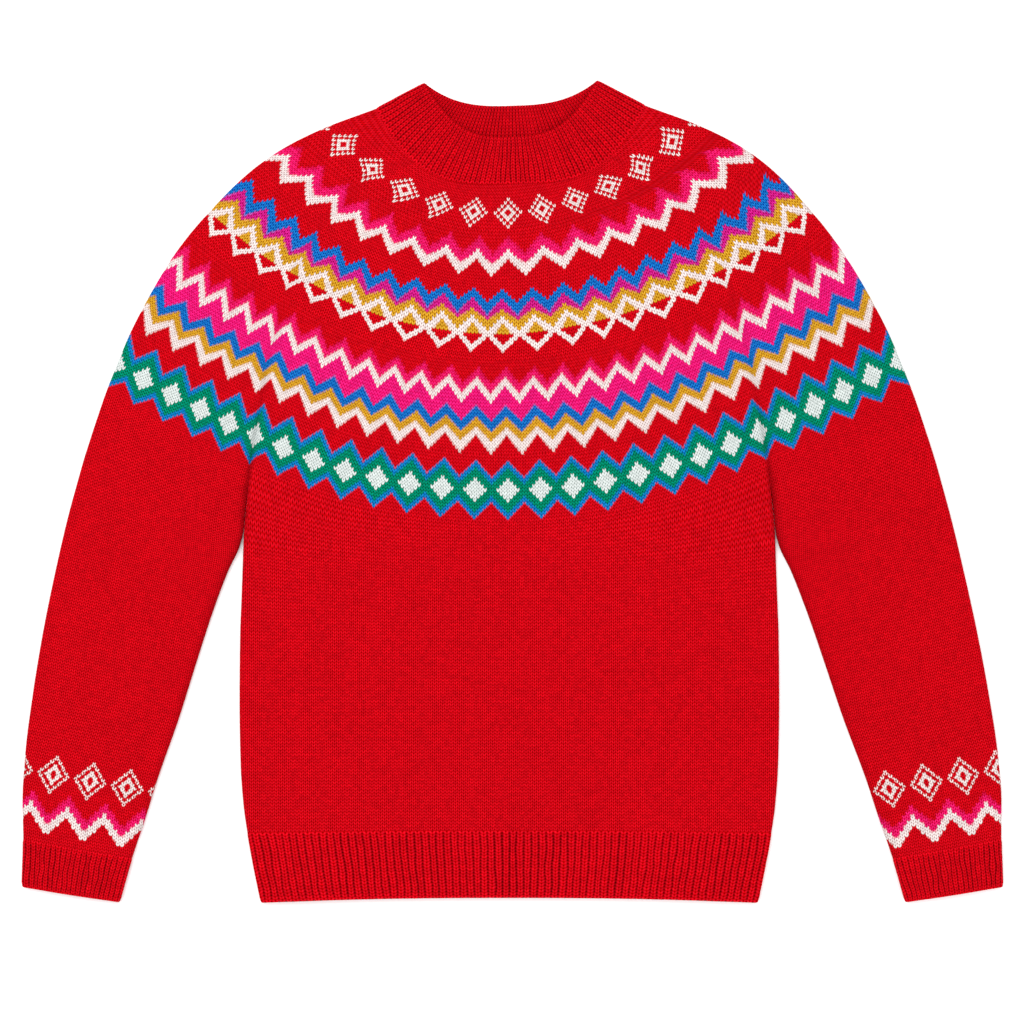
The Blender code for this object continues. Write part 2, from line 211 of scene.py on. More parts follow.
def crease_height(row):
    """Height of the two layers at the raglan seam, which sinks into a crease towards the underarm."""
    first, last = CREASE_ROWS
    return FULL_HEIGHT - (FULL_HEIGHT - FOLD_HEIGHT) * float(ease((row - first) / (last - first)))


def yoke_curve(entry, layer):
    """Middle height and bend of a yoke row on one layer."""
    if layer == TOP:
        return entry.centre_y, entry.bend
    fade = 1.0 - float(ease(entry.row / BACK_LIFT_ROWS))
    return entry.centre_y + BACK_LIFT * fade, entry.bend + (BACK_BEND - YOKE[0].bend) * fade


def panel_keys(layer):
    """Given rows of the front or the back, with the height and the turn of the cloth at both ends."""
    keys = []
    for entry in YOKE:
        end, height = entry.seam_x - SEAM_GAP / 2, crease_height(entry.row)
        centre_y, bend = yoke_curve(entry, layer)
        line = swung_line(entry.edge_x, entry.edge_y, centre_y, bend, -end, end)
        keys.append(Key(entry.row, line, (height, height), (0.0, 0.0)))
    for entry in BODY:
        end, height = entry.side_x - (1.0 - entry.turn) * SEAM_GAP / 2, crease_height(entry.row)
        line = swung_line(entry.side_x, entry.side_y, entry.centre_y, BODY_BEND, -end, end)
        keys.append(Key(entry.row, line, (height, height), (entry.turn, entry.turn)))
    return keys


def sleeve_keys(side, layer):
    """Given rows of one layer of a sleeve, from the armhole to the outer fold."""
    keys = []
    for entry in YOKE:
        start = side * (entry.seam_x + SEAM_GAP / 2)
        centre_y, bend = yoke_curve(entry, layer)
        line = swung_line(entry.edge_x, entry.edge_y, centre_y, bend, start, side * entry.edge_x)
        keys.append(Key(entry.row, line, (crease_height(entry.row), FOLD_HEIGHT), (0.0, 1.0)))
    for entry in SLEEVE:
        gap = (1.0 - entry.turn) * SEAM_GAP / 2 + CREASE_LEAN
        start = side * (entry.inner_x + gap), entry.inner_y
        ends = np.array([start, (side * entry.outer_x, entry.outer_y)])
        ends[:, 0] += LEAN * ease((ends[:, 1] - LEAN_Y[0]) / (LEAN_Y[1] - LEAN_Y[0]))
        heights = crease_height(entry.row), FOLD_HEIGHT
        keys.append(Key(entry.row, even_line(ends), heights, (entry.turn, 1.0)))
    return keys


def neck_keys(layer):
    """Given rows of one layer of the neckband. They are numbered 0 at its seam and 1 at its edge."""
    seam_y, seam_bend = yoke_curve(YOKE[0], layer)
    edge_y = NECK_FRONT_Y if layer == TOP else NECK_BACK_Y
    seam = np.array([YOKE[0].edge_x, YOKE[0].edge_y, seam_y, seam_bend])
    edge = np.array([NECK_EDGE_X, NECK_EDGE_Y, edge_y, NECK_BEND])
    keys = []
    for share in (0.0, 0.25, 0.5, 0.75, 1.0):
        half, end_y, centre_y, bend = seam + (edge - seam) * share
        line = swung_line(half, end_y, centre_y, bend, -half, half)
        keys.append(Key(share, line, (FOLD_HEIGHT, FOLD_HEIGHT), (1.0, 1.0)))
    return keys


print("the front has", len(panel_keys(TOP)), "given rows, a sleeve", len(sleeve_keys(LEFT, TOP)))

# %% [markdown]
# ## From lines to cloth
#
# The jumper lies in two layers. The back is flat on the floor, the front lies on it and sinks towards the
# edges, and at a side the cloth turns through a quarter circle to meet the other layer half way up. A
# simulation could drape this, but a real jumper that somebody has smoothed out by hand is this regular, and
# a formula keeps every seam matched stitch for stitch. Places on a row are read by their distance across
# its outer face.

# %% Surface of a layer
Strip = namedtuple("Strip", "rows line length heights turns layer")


def lay_strip(keys, rows, layer):
    """One layer of a piece at some rows."""
    given = [key.row for key in keys]
    rows = np.asarray(rows, float)
    line = glide(given, [key.line for key in keys], rows)
    heights = glide(given, [key.heights for key in keys], rows)
    turns = glide(given, [key.turns for key in keys], rows)
    length = np.hypot(*np.moveaxis(np.diff(line, axis=1), 2, 0)).sum(axis=1, keepdims=True)
    return Strip(rows, line, length, heights, turns, layer)


def on_line(strip, along):
    """Points at distances along each row's line, straight on beyond its ends."""
    last = strip.line.shape[1] - 1
    place = along / strip.length * last
    index = np.clip(np.floor(place), 0, last - 1).astype(int)
    row = np.arange(len(index))[:, None]
    share = (place - index)[..., None]
    return strip.line[row, index] * (1.0 - share) + strip.line[row, index + 1] * share


def settle(plan):
    """Moves points of the rows to where the garment lies."""
    x, y = plan[..., 0], plan[..., 1]
    up = ease((y - TILT_Y[0]) / (TILT_Y[1] - TILT_Y[0]))
    moved_x = x - LEAN + NECK_SHIFT * up
    moved_y = y - MIDDLE_Y + TILT * up * x / (np.abs(x) + TILT_REACH)
    return np.stack([moved_x, moved_y], axis=-1)


def face_length(strip):
    """Length of each row's outer face, its two quarter turns included."""
    return strip.length + strip.heights.sum(axis=1, keepdims=True) * (math.pi / 4 - 0.5)


def surface(strip, distance, lift):
    """Points at distances across each row's outer face, lifted off that face, or sunk below it."""
    total = face_length(strip)
    from_end = distance > total / 2
    height, turn = (np.where(from_end, pair[:, 1:], pair[:, :1]) for pair in (strip.heights, strip.turns))
    radius = height / 2
    quarter = radius * math.pi / 2
    run = np.where(from_end, total - distance, distance)
    angle = math.pi / 2 * (1.0 - np.clip(run / quarter, 0.0, 1.0))
    turning = run < quarter
    folded = radius - (radius + lift) * np.sin(angle)
    flat = radius * run / quarter
    along = np.where(turning, flat + (folded - flat) * turn, run - quarter + radius)
    along = np.where(from_end, strip.length - along, along)
    plan = settle(on_line(strip, along))
    rise = (radius + lift) * (1.0 + (np.cos(angle) - 1.0) * turn)
    turned = radius + strip.layer * np.maximum(rise, turn * SEAM_GAP / 2)
    if strip.layer == BOTTOM:
        return np.concatenate([plan, np.where(turning, turned, -lift)[..., None]], axis=-1)
    full = np.full(along.shape, FULL_HEIGHT)
    full -= (FULL_HEIGHT - strip.heights[:, :1]) * (1.0 - ease((along - strip.heights[:, :1] / 2) / RISE))
    to_end = strip.length - strip.heights[:, 1:] / 2 - along
    full -= (FULL_HEIGHT - strip.heights[:, 1:]) * (1.0 - ease(to_end / RISE))
    z = np.where(turning, turned, np.maximum(full, FOLD_HEIGHT) + lift)
    return np.concatenate([plan, z[..., None]], axis=-1)


FOLD_STEPS = 5  # facets of a quarter turn


def columns(strip, steps):
    """Distances across each row's outer face: the facets of both quarter turns, and even steps between."""
    total, quarters = face_length(strip), strip.heights * math.pi / 4
    between = total - quarters.sum(axis=1, keepdims=True)
    start = quarters[:, :1] * np.linspace(0.0, 1.0, FOLD_STEPS, endpoint=False)
    middle = quarters[:, :1] + between * np.linspace(0.0, 1.0, steps + 1)
    end = total - quarters[:, 1:] * np.linspace(1.0, 0.0, FOLD_STEPS + 1)[1:]
    return np.concatenate([start, middle, end], axis=1)


# %% [markdown]
# ## Creases
#
# Smoothed out by hand or not, wool keeps a few soft marks: a tuck where sleeve and body meet at the
# underarm, a dip where a band is picked up and knitted on, and shallow troughs where the cloth was folded.
# They are listed one by one, each with its own length, width and depth, and sunk into the layer as smooth
# troughs.

# %% Troughs in the cloth
Crease = namedtuple("Crease", "start_x start_y end_x end_y depth width")
CREASES = [
    Crease(-0.226, -0.035, -0.200, -0.062, 0.0011, 0.0065),
    Crease(-0.224, -0.060, -0.185, -0.095, 0.0006, 0.0080),
    Crease(0.224, -0.030, 0.197, -0.055, 0.0010, 0.0060),
    Crease(0.221, -0.064, 0.178, -0.112, 0.0005, 0.0090),
    Crease(-0.245, -0.045, -0.282, -0.030, 0.0008, 0.0070),
    Crease(0.241, -0.040, 0.284, -0.022, 0.0007, 0.0075),
    Crease(-0.262, -0.110, -0.318, -0.092, 0.0004, 0.0110),
    Crease(0.268, -0.124, 0.330, -0.100, 0.0004, 0.0100),
    Crease(-0.120, -0.215, 0.060, -0.228, 0.0003, 0.0180),
    Crease(-0.355, -0.160, -0.330, -0.215, 0.0003, 0.0140),
]
TUCK_ROWS = (50, 108)  # the tuck along the armhole deepens from the first row to the second
TUCK_DEPTH, TUCK_WIDTH = 0.0021, 0.0030
NECK_DIP, NECK_DIP_ROWS = 0.0005, 2.2  # dip along the stitches picked up for the neckband
NECK_DIP_X = (0.045, 0.080)  # the dip fades between these distances from the middle
CLEAR_OF_BACK = 0.0029  # the front layer's underside stays above this


def trough_depth(points):
    """How deep the listed creases are at points."""
    depth = np.zeros(points.shape[:-1])
    for crease in CREASES:
        start = np.array([crease.start_x, crease.start_y])
        way = np.array([crease.end_x, crease.end_y]) - start
        share = np.clip((points[..., :2] - start) @ way / (way @ way), 0.0, 1.0)
        off = np.linalg.norm(points[..., :2] - start - share[..., None] * way, axis=-1)
        taper = 1.0 - (2.0 * share - 1.0) ** 4
        depth += crease.depth * taper * np.exp(-((off / crease.width) ** 2))
    return depth


def sink_top(strip, distance, points, seam_ends):
    """Sinks the top layer into its creases. seam_ends says which ends of a row lie on the armhole."""
    total, row = face_length(strip), strip.rows[:, None]
    depth = trough_depth(points)
    tuck = TUCK_DEPTH * ease((row - TUCK_ROWS[0]) / (TUCK_ROWS[1] - TUCK_ROWS[0]))
    for at_end, turn in zip((False, True), strip.turns.T):
        if seam_ends[at_end]:
            off = total - distance if at_end else distance
            depth = depth + tuck * (1.0 - turn[:, None]) * np.exp(-((off / TUCK_WIDTH) ** 2))
    aside = ease((np.abs(points[..., 0]) - NECK_DIP_X[0]) / (NECK_DIP_X[1] - NECK_DIP_X[0]))
    depth = depth + NECK_DIP * (1.0 - aside) * np.exp(-((row / NECK_DIP_ROWS) ** 2))
    share = np.clip(points[..., 2] / FOLD_HEIGHT * 2.0 - 1.0, 0.0, 1.0)
    points = points.copy()
    points[..., 2] -= depth * share
    return points


print(len(CREASES), "creases are placed by hand")

# %% [markdown]
# Where the cloth is tucked in at the armhole and turns under along the inner edge of a sleeve, shade falls
# into the crease. It is painted into the colour: each point holds how much painted shade it gets, and the
# wool reads that later and darkens its colour by it.

# %% Painted crease shade
# Strength of the painted crease shade at some rows, on a sleeve and on a panel.
CreaseShade = namedtuple("CreaseShade", "row on_sleeve on_panel")
CREASE_SHADE_TABLE = [
    CreaseShade(0.0, 0.0, 0.0),
    CreaseShade(58.0, 0.0, 0.0),
    CreaseShade(82.0, 0.25, 0.15),
    CreaseShade(95.0, 0.6, 0.3),
    CreaseShade(106.0, 0.95, 0.45),
    CreaseShade(120.0, 1.0, 0.0),
    CreaseShade(138.0, 0.8, 0.0),
    CreaseShade(170.0, 0.6, 0.0),
    CreaseShade(205.0, 0.4, 0.0),
    CreaseShade(233.0, 0.25, 0.0),
]
CREASE_SHADE_WIDTH = (0.0060, 0.0030)  # how far from the edge the painted shade reaches on a sleeve and on a panel


def painted_crease_shade(strip, distance, on_sleeve):
    """How much painted shade darkens each point near the crease, from 0 to 1."""
    amount = glide([entry.row for entry in CREASE_SHADE_TABLE], [entry[1:] for entry in CREASE_SHADE_TABLE], strip.rows)
    amount = amount[:, :1] if on_sleeve else amount[:, 1:]
    off = distance if on_sleeve else np.minimum(distance, face_length(strip) - distance)
    return amount * np.exp(-((off / CREASE_SHADE_WIDTH[0 if on_sleeve else 1]) ** 2))


# Rows where the painted crease shade is strongest on a sleeve.
print("the tightest rows are", [entry.row for entry in CREASE_SHADE_TABLE if entry.on_sleeve > 0.9])

# %% [markdown]
# ## Stitches round the yoke
#
# A yoke gets narrower by decrease rounds, knitted where the cloth is plain. Between two of them the number
# of stitches all round stays the same, so each motif keeps its number of stitches and shrinks with the
# round. The UV map holds quarters of a round across and rows down, which is smooth all over the cloth, and
# the material multiplies the quarters by the stitches of the round. A flat projection from above would be
# easier, but its motifs would not turn with the rows.
#
# Smoothing a jumper out by hand pulls its rounds a little askew, so a motif lands some stitches further
# round and some rows higher than its count says. Two tables say by how much, at a few rows and at eleven
# places across.

# %% Stitch counts
# turn moves a round's stitches to the left of the middle line.
Round = namedtuple("Round", "first_row stitches turn")
ROUNDS = [
    Round(0, 264, 0.35),
    Round(14, 340, 0.4),
    Round(28, 336, 0.0),
    Round(52, 520, 0.9),
    Round(80, 520, 0.45),
    Round(100, 420, 0.0),
]
YOKE_END = 100  # below this row the stitches keep their width
PLAIN_ROW, PLAIN_TIGHTER = 99.2, 0.1  # from this row on the rows are knitted tighter by this share
SLEEVE_ROLL = {LEFT: -0.1, RIGHT: 1.6}  # stitches by which a sleeve lies rolled round
ROLL_ROWS = 40  # rows below the yoke over which the roll sets in
# The cuff's columns lean to the fold by these stitches per row, from the first row on, and stand true at the
# second.
CUFF_LEAN, CUFF_LEAN_ROWS = 0.12, (190, 212)

PULL_ROWS = (4, 11, 14, 24, 35, 46, 60, 72, 90)  # rows of the tables
PULL_FADE_ROWS = 20  # rows below the yoke over which the pull dies out
PULL_PLACES = np.linspace(-1.0, 1.0, 11)  # from the left outer fold to the right one
PULLED_STITCHES = [
    (2.7, 3.6, 1.7, -0.5, -0.6, 0.3, 1.2, 1.3, -0.8, -4.1, -5.5),
    (1.5, 1.2, -0.7, -1.3, -0.6, 0.3, 1.2, 2.1, 2.8, 0.9, -0.5),
    (0.7, 0.6, -0.5, 0.2, -0.7, 0.0, -1.8, -3.0, -3.6, -6.4, -8.0),
    (0.7, 0.6, -0.5, 0.2, -0.7, 0.0, -1.8, -3.0, -3.6, -6.4, -8.0),
    (-1.6, -1.4, -1.1, -0.5, -0.2, 0.0, -0.5, -0.3, -0.7, -1.6, 0.0),
    (-3.0, -1.4, -0.8, -0.5, -1.2, -0.5, -1.6, -0.5, -1.6, -2.0, 0.0),
    (-4.6, -3.3, -1.2, -1.4, 0.2, 0.7, 1.5, 1.6, 2.3, 0.7, 0.5),
    (-2.4, -2.0, -1.1, -0.9, -0.1, 0.0, 0.3, 0.6, 0.6, 0.6, 0.5),
    (-0.5, -0.5, 0.5, 0.4, 0.3, 0.0, 0.0, -0.6, -0.1, 0.4, 0.3),
]
PULLED_ROWS = [
    (-0.7, -0.8, -0.5, -0.4, -0.3, 0.0, 0.8, 1.4, 1.3, 0.6, 0.0),
    (1.8, 1.3, 0.4, -0.1, -0.2, 0.0, 0.9, 1.6, 1.7, 2.5, 3.2),
    (1.2, 1.0, 0.1, -0.3, -0.4, -0.1, 0.9, 1.7, 1.6, 2.2, 2.7),
    (0.5, 0.6, 0.0, -0.3, -0.5, -0.2, 1.0, 1.8, 1.6, 1.8, 2.1),
    (-1.5, -1.5, -1.3, -0.8, 0.1, 0.2, 0.8, 1.0, 0.4, -0.5, -0.5),
    (-3.3, -3.3, -2.1, -1.8, -0.7, -0.1, 0.5, 0.0, -0.6, -2.0, -2.3),
    (1.9, 1.4, 1.7, 0.7, 0.4, 0.6, 1.4, 2.5, 3.1, 3.6, 2.9),
    (2.4, 1.4, 1.0, -0.7, -0.4, 0.3, 0.4, 0.9, 2.5, 3.6, 3.6),
    (0.8, 0.8, 0.3, -0.8, -0.1, 0.5, 0.6, 0.8, 1.6, 2.0, 2.0),
]


def half_round(rows, layer):
    """Distance from the middle of the front or the back to the outer fold, along each row of the yoke."""
    rows = np.minimum(rows, YOKE_END)
    panel = face_length(lay_strip(panel_keys(layer), rows, layer)) / 2
    sleeve = face_length(lay_strip(sleeve_keys(RIGHT, layer), rows, layer))
    return panel + sleeve


def pull(rows, places, layer):
    """Quarters of a round and rows by which the cloth is pulled, at places of its rows."""
    counts = [[entry.stitches for entry in ROUNDS if entry.first_row <= row][-1] for row in PULL_ROWS]
    quarters = np.array(PULLED_STITCHES) * 4 / np.array(counts)[:, None]
    given = np.stack([quarters, np.array(PULLED_ROWS)], axis=-1)
    values = glide(PULL_ROWS, given, np.clip(rows, PULL_ROWS[0], PULL_ROWS[-1]))
    values = values * (1.0 - ease((rows - YOKE_END) / PULL_FADE_ROWS))[:, None, None]
    if layer == BOTTOM:  # as much as the front at the outer folds, and nothing in the middle of the back
        ends = np.where(places[..., None] < 0.0, values[:, :1], values[:, -1:])
        return ends * ease(np.abs(places))[..., None]
    places = np.clip(places, -1.0, 1.0)
    return np.stack([glide(PULL_PLACES, *pair) for pair in zip(values, places)])


def stitch_places(strip, across, fold_side=0):
    """Place of each point of a layer, in quarters of a round from the middle of the front, and in rows.

    On the front or back, across is the distance from the middle. On a sleeve it is the distance from the
    outer fold, and fold_side is LEFT or RIGHT."""
    place = across / half_round(strip.rows, strip.layer)
    if fold_side:
        place = fold_side * (1.0 - place)
    pulled = pull(strip.rows, place, strip.layer)
    row = strip.rows[:, None]
    if strip.layer == BOTTOM:
        place = 2 * (fold_side or RIGHT) - place
    if fold_side:
        lean = CUFF_LEAN * (np.maximum(row, CUFF_LEAN_ROWS[0]) - CUFF_LEAN_ROWS[1])
        rolled = (SLEEVE_ROLL[fold_side] - lean) * ease((row - YOKE_END) / ROLL_ROWS)
        place = place + fold_side * rolled / (ROUNDS[-1].stitches / 4)
    down = row + PLAIN_TIGHTER * np.maximum(row - PLAIN_ROW, 0.0)
    return np.stack([place, down + 0.0 * place], axis=-1) + pulled


for entry in ROUNDS:
    width = float(half_round(np.array([entry.first_row]), TOP)[0, 0]) / entry.stitches * 4
    print(f"from row {entry.first_row}: {entry.stitches} stitches, {width * 1000:.2f} mm wide there")

# %% [markdown]
# ## Shells
#
# A piece of cloth is a closed wall: a fine outer face with about a quad to a stitch, a coarser inner face,
# and borders that zip the two together. Solidify could give the thickness, but it would double the fine
# faces where nobody looks. The shell below collects grids, keeps the place in the knitting of every face
# corner, and turns all faces outwards at the end.

# %% Building a shell
SHARP_ANGLE = math.radians(65.0)  # edges that turn by more than this are shaded sharp


class Shell:
    """The points and faces of one piece, with the place in the knitting of each corner of a face."""

    def __init__(self):
        self.points, self.faces, self.corners, self.places, self.count = [], [], [], [], 0

    def grid(self, points, places, ring=False):
        """Adds a grid of points. In a ring the last column joins the first, and places has one more."""
        rows, width = points.shape[:2]
        numbers = self.count + np.arange(rows * width).reshape(rows, width)
        self.points.append(points.reshape(-1, 3))
        self.places.append(places[:, :width].reshape(-1, 2))
        self.count += rows * width
        if ring:
            numbers = np.concatenate([numbers, numbers[:, :1]], axis=1)
        for kept, grid in ((self.faces, numbers), (self.corners, places)):
            quads = np.stack([grid[:-1, :-1], grid[1:, :-1], grid[1:, 1:], grid[:-1, 1:]], axis=2)
            kept += quads.reshape(-1, 4).tolist() if grid is numbers else [quads.reshape(-1, 2)]
        return numbers

    def zip(self, first, second):
        """Joins two chains of points with triangles, whatever their counts. They may end in one point."""
        places = np.concatenate(self.places)
        triangles = []
        i = j = 0
        while i < len(first) - 1 or j < len(second) - 1:
            step_first = j == len(second) - 1
            if i < len(first) - 1 and not step_first:
                step_first = (i + 1) / (len(first) - 1) <= (j + 1) / (len(second) - 1)
            if step_first:
                triangles.append((first[i], first[i + 1], second[j]))
                i += 1
            else:
                triangles.append((first[i], second[j + 1], second[j]))
                j += 1
        triangles = [tuple(int(number) for number in triangle) for triangle in triangles]
        triangles = [triangle for triangle in triangles if len(set(triangle)) == 3]
        self.faces += triangles
        self.corners.append(places[np.array(triangles)].reshape(-1, 2))

    def mesh(self, name, attributes):
        """The finished mesh, its faces turned outwards."""
        made = bpy.data.meshes.new(name)
        made.from_pydata(np.concatenate(self.points).tolist(), [], self.faces)
        layer = made.uv_layers.new(name="stitches")
        layer.uv.foreach_set("vector", np.concatenate(self.corners).ravel().astype(np.float32))
        for key, values in attributes.items():
            kind, field = ("FLOAT", "value") if values.ndim == 1 else ("FLOAT_VECTOR", "vector")
            made.attributes.new(key, kind, "POINT").data.foreach_set(field, values.ravel().astype(np.float32))
        bm = bmesh.new()
        bm.from_mesh(made)
        bmesh.ops.recalc_face_normals(bm, faces=bm.faces)
        bm.to_mesh(made)
        bm.free()
        made.shade_smooth()
        made.set_sharp_from_angle(angle=SHARP_ANGLE)
        return made


def borders(numbers):
    """The four borders of a grid."""
    return numbers[0], numbers[-1], numbers[:, 0], numbers[:, -1]


def close_wall(shell, outside, inside, name, crease_shade):
    """Zips the borders of the outer and the inner face together and gives back the mesh."""
    for one, other in zip(borders(outside), borders(inside)):
        shell.zip(one, other)
    return shell.mesh(name, {"crease_shade": np.append(crease_shade, np.zeros(inside.size))})


def rows_to(last):
    """The rows from the neck seam to the seam of a rib, one by one."""
    rows = np.arange(0.0, last + 1.0)
    rows[-1] -= SEAM_GAP / 2 / ROW_HEIGHT
    return rows


# %% [markdown]
# ## Yarn colours
#
# Colours are written as they would be picked on a screen and turned to the linear values that Blender mixes
# in. They are those of the yarn itself. The cloth looks a little different, because its stitches shade each
# other.


# %% Colours and the node helper
def linear(hex_colour):
    """Linear red, green, blue and alpha of an sRGB hex colour."""
    parts = [int(hex_colour[i : i + 2], 16) / 255 for i in (1, 3, 5)]
    return (*(c / 12.92 if c <= 0.04045 else ((c + 0.055) / 1.055) ** 2.4 for c in parts), 1.0)


YARN = {
    "red": "#A80106",
    "rib red": "#B40107",
    "white": "#C9B9B6",
    "ice white": "#B6BEBB",
    "pink": "#C50947",
    "hot pink": "#C60956",
    "magenta": "#A80B62",
    "blue": "#064D9B",
    "sky blue": "#03589A",
    "mustard": "#AE7712",
    "green": "#006447",
}


def socket_of(sockets, key):
    """A socket by its number, or the first one in use with that name."""
    if isinstance(key, int):
        return sockets[key]
    return next(socket for socket in sockets if socket.enabled and socket.name == key)


def add(tree, kind, inputs=None, **settings):
    """Adds a node with its settings, and fills its inputs from values, from sockets or from other nodes."""
    node = tree.nodes.new(kind)
    for name, value in settings.items():
        setattr(node, name, value)
    for key, value in (inputs or {}).items():
        target = socket_of(node.inputs, key)
        if isinstance(value, bpy.types.Node):
            value = next(socket for socket in value.outputs if socket.enabled)
        if isinstance(value, bpy.types.NodeSocket):
            tree.links.new(value, target)
        else:
            target.default_value = value
    return node


print(len(YARN), "yarns")

# %% [markdown]
# ## The stitch
#
# Stocking stitch is made of small V shapes with the point down. Each V is two legs of yarn, and each row's
# V sits in the one below. The nodes below split the UV map into those V cells: the row edges are bent into
# the V, the cell numbers choose colours, and the place inside a cell gives the round back of each leg.
# Modelled one by one these 90,000 stitches would be millions of faces, so their relief is bump.

# %% Nodes of one stitch
V_DEPTH = 0.6  # rows that the point of a V hangs below its ends
# Hand-knitted stitches stray within this share of a stitch, in patches of about 6 mm.
WANDER, WANDER_SCALE = 0.26, 170.0
# A leg is round: it falls off to its sides, to its ends, and most of all to its corners.
FALL_SIDES, FALL_ENDS, FALL_CORNERS = 0.22, 0.20, 0.62
COVERED = (0.3, 0.75)  # heights of a leg between which yarn comes to cover what lies beneath
THINLY_COVERED = (0.66, 0.94)  # the same for thin yarn
HAIR_SCALE = 750.0  # the hairs of the yarn lie about 1.3 mm apart
# leg is the height of the leg of yarn at a point, from 0 to 1, cover and thin_cover are how much of what lies
# beneath it hides there, random is one value for each stitch, and fuzz is the hairs.
Stitch = namedtuple("Stitch", "place column row leg cover thin_cover random fuzz")


def round_nodes(tree):
    """Place in stitches and rows, from the quarters of a round and the rows in the UV map."""
    places = add(tree, "ShaderNodeUVMap", uv_map="stitches")
    straight = add(tree, "ShaderNodeSeparateXYZ", {0: places}).outputs
    quarter, turn = ROUNDS[0].stitches / 4, ROUNDS[0].turn + 0.5
    for before, after in zip(ROUNDS, ROUNDS[1:]):
        past = {0: straight["Y"], 1: float(after.first_row)}
        past = add(tree, "ShaderNodeMath", past, operation="GREATER_THAN")
        more = {0: past, 1: (after.stitches - before.stitches) / 4, 2: quarter}
        quarter = add(tree, "ShaderNodeMath", more, operation="MULTIPLY_ADD")
        more = {0: past, 1: after.turn - before.turn, 2: turn}
        turn = add(tree, "ShaderNodeMath", more, operation="MULTIPLY_ADD")
    across = add(tree, "ShaderNodeMath", {0: straight["X"], 1: quarter, 2: turn}, operation="MULTIPLY_ADD")
    return add(tree, "ShaderNodeCombineXYZ", {"X": across, "Y": straight["Y"]})


def stitch_nodes(tree, straight):
    """Splits places in stitches and rows into the V cells of stocking stitch."""
    here = add(tree, "ShaderNodeTexCoord").outputs["Object"]
    stray = {"Vector": here, "Scale": WANDER_SCALE, "Detail": 1.0}
    stray = add(tree, "ShaderNodeTexNoise", stray, noise_dimensions="3D").outputs["Color"]
    stray = add(tree, "ShaderNodeVectorMath", {0: stray, 1: (0.5, 0.5, 0.5)}, operation="SUBTRACT")
    stray = add(tree, "ShaderNodeVectorMath", {0: stray, "Scale": WANDER}, operation="SCALE")
    place = add(tree, "ShaderNodeVectorMath", {0: straight, 1: stray}, operation="ADD")
    place = add(tree, "ShaderNodeSeparateXYZ", {0: place})
    column = add(tree, "ShaderNodeMath", {0: place.outputs["X"]}, operation="FLOOR")
    inside = add(tree, "ShaderNodeMath", {0: place.outputs["X"]}, operation="FRACT")
    centred = add(tree, "ShaderNodeMath", {0: inside, 1: 2.0, 2: -1.0}, operation="MULTIPLY_ADD")
    side = add(tree, "ShaderNodeMath", {0: centred}, operation="ABSOLUTE")
    lift = add(tree, "ShaderNodeMath", {0: side, 1: V_DEPTH, 2: -V_DEPTH / 2}, operation="MULTIPLY_ADD")
    bent = add(tree, "ShaderNodeMath", {0: place.outputs["Y"], 1: lift}, operation="ADD")
    row = add(tree, "ShaderNodeMath", {0: bent}, operation="FLOOR")
    down = add(tree, "ShaderNodeMath", {0: bent}, operation="FRACT")
    squares = []
    for share in (side, down):
        off = add(tree, "ShaderNodeMath", {0: share, 1: 2.0, 2: -1.0}, operation="MULTIPLY_ADD")
        squares.append(add(tree, "ShaderNodeMath", {0: off, 1: off}, operation="MULTIPLY"))
    across, along = squares
    corner = {0: across, 1: -FALL_CORNERS, 2: -FALL_ENDS}
    corner = add(tree, "ShaderNodeMath", corner, operation="MULTIPLY_ADD")
    leg = add(tree, "ShaderNodeMath", {0: across, 1: -FALL_SIDES, 2: 1.0}, operation="MULTIPLY_ADD")
    leg = add(tree, "ShaderNodeMath", {0: corner, 1: along, 2: leg}, operation="MULTIPLY_ADD")
    covers = []
    for first, last in (COVERED, THINLY_COVERED):
        cover = {"Value": leg, "From Min": first, "From Max": last}
        covers.append(add(tree, "ShaderNodeMapRange", cover, interpolation_type="SMOOTHSTEP"))
    cell = add(tree, "ShaderNodeCombineXYZ", {"X": column, "Y": row})
    random = add(tree, "ShaderNodeTexWhiteNoise", {"Vector": cell}, noise_dimensions="2D").outputs["Value"]
    fibre = {"Vector": here, "Scale": HAIR_SCALE, "Detail": 2.0, "Roughness": 0.6}
    fuzz = add(tree, "ShaderNodeTexNoise", fibre, noise_dimensions="3D").outputs["Fac"]
    return Stitch(place, column, row, leg, *covers, random, fuzz)


# %% [markdown]
# ## The chart
#
# A knitter reads the yoke from a chart: for each band, how many stitches its repeat has and at which row
# each colour starts. Zigzags start lower with each stitch away from the peak, and diamonds are counted
# outwards from their middle. Painting the bands as an image would blur at this size. Here every stitch
# works out its own colour from its row and its column, so the edges keep the stitches' V shape at any
# distance.

# %% Chart of the bands
# slope is the number of rows that a colour starts lower for each stitch away from the peak. soft is the
# number of rows over which two colours mix, smooth is how far fluffy yarn hides the steps of an edge, from 0
# to 1, and after is the row before which the colour never starts.
Start = namedtuple("Start", "row slope colour soft smooth after", defaults=(0.0, 0.25, 0))
Zigzag = namedtuple("Zigzag", "repeat peak starts")
# slope is the number of rows that one stitch across counts for. Each ring is filled up to its distance, in
# rows. smooth is read as in Start. A loose ring is knitted in thinner yarn that leaves the gaps between its
# stitches open.
Ring = namedtuple("Ring", "distance colour smooth loose", defaults=(False,))
Diamond = namedtuple("Diamond", "repeat peak row slope rings")

EDGE = 0.35  # rows over which any two colours mix, because yarn is fluffy
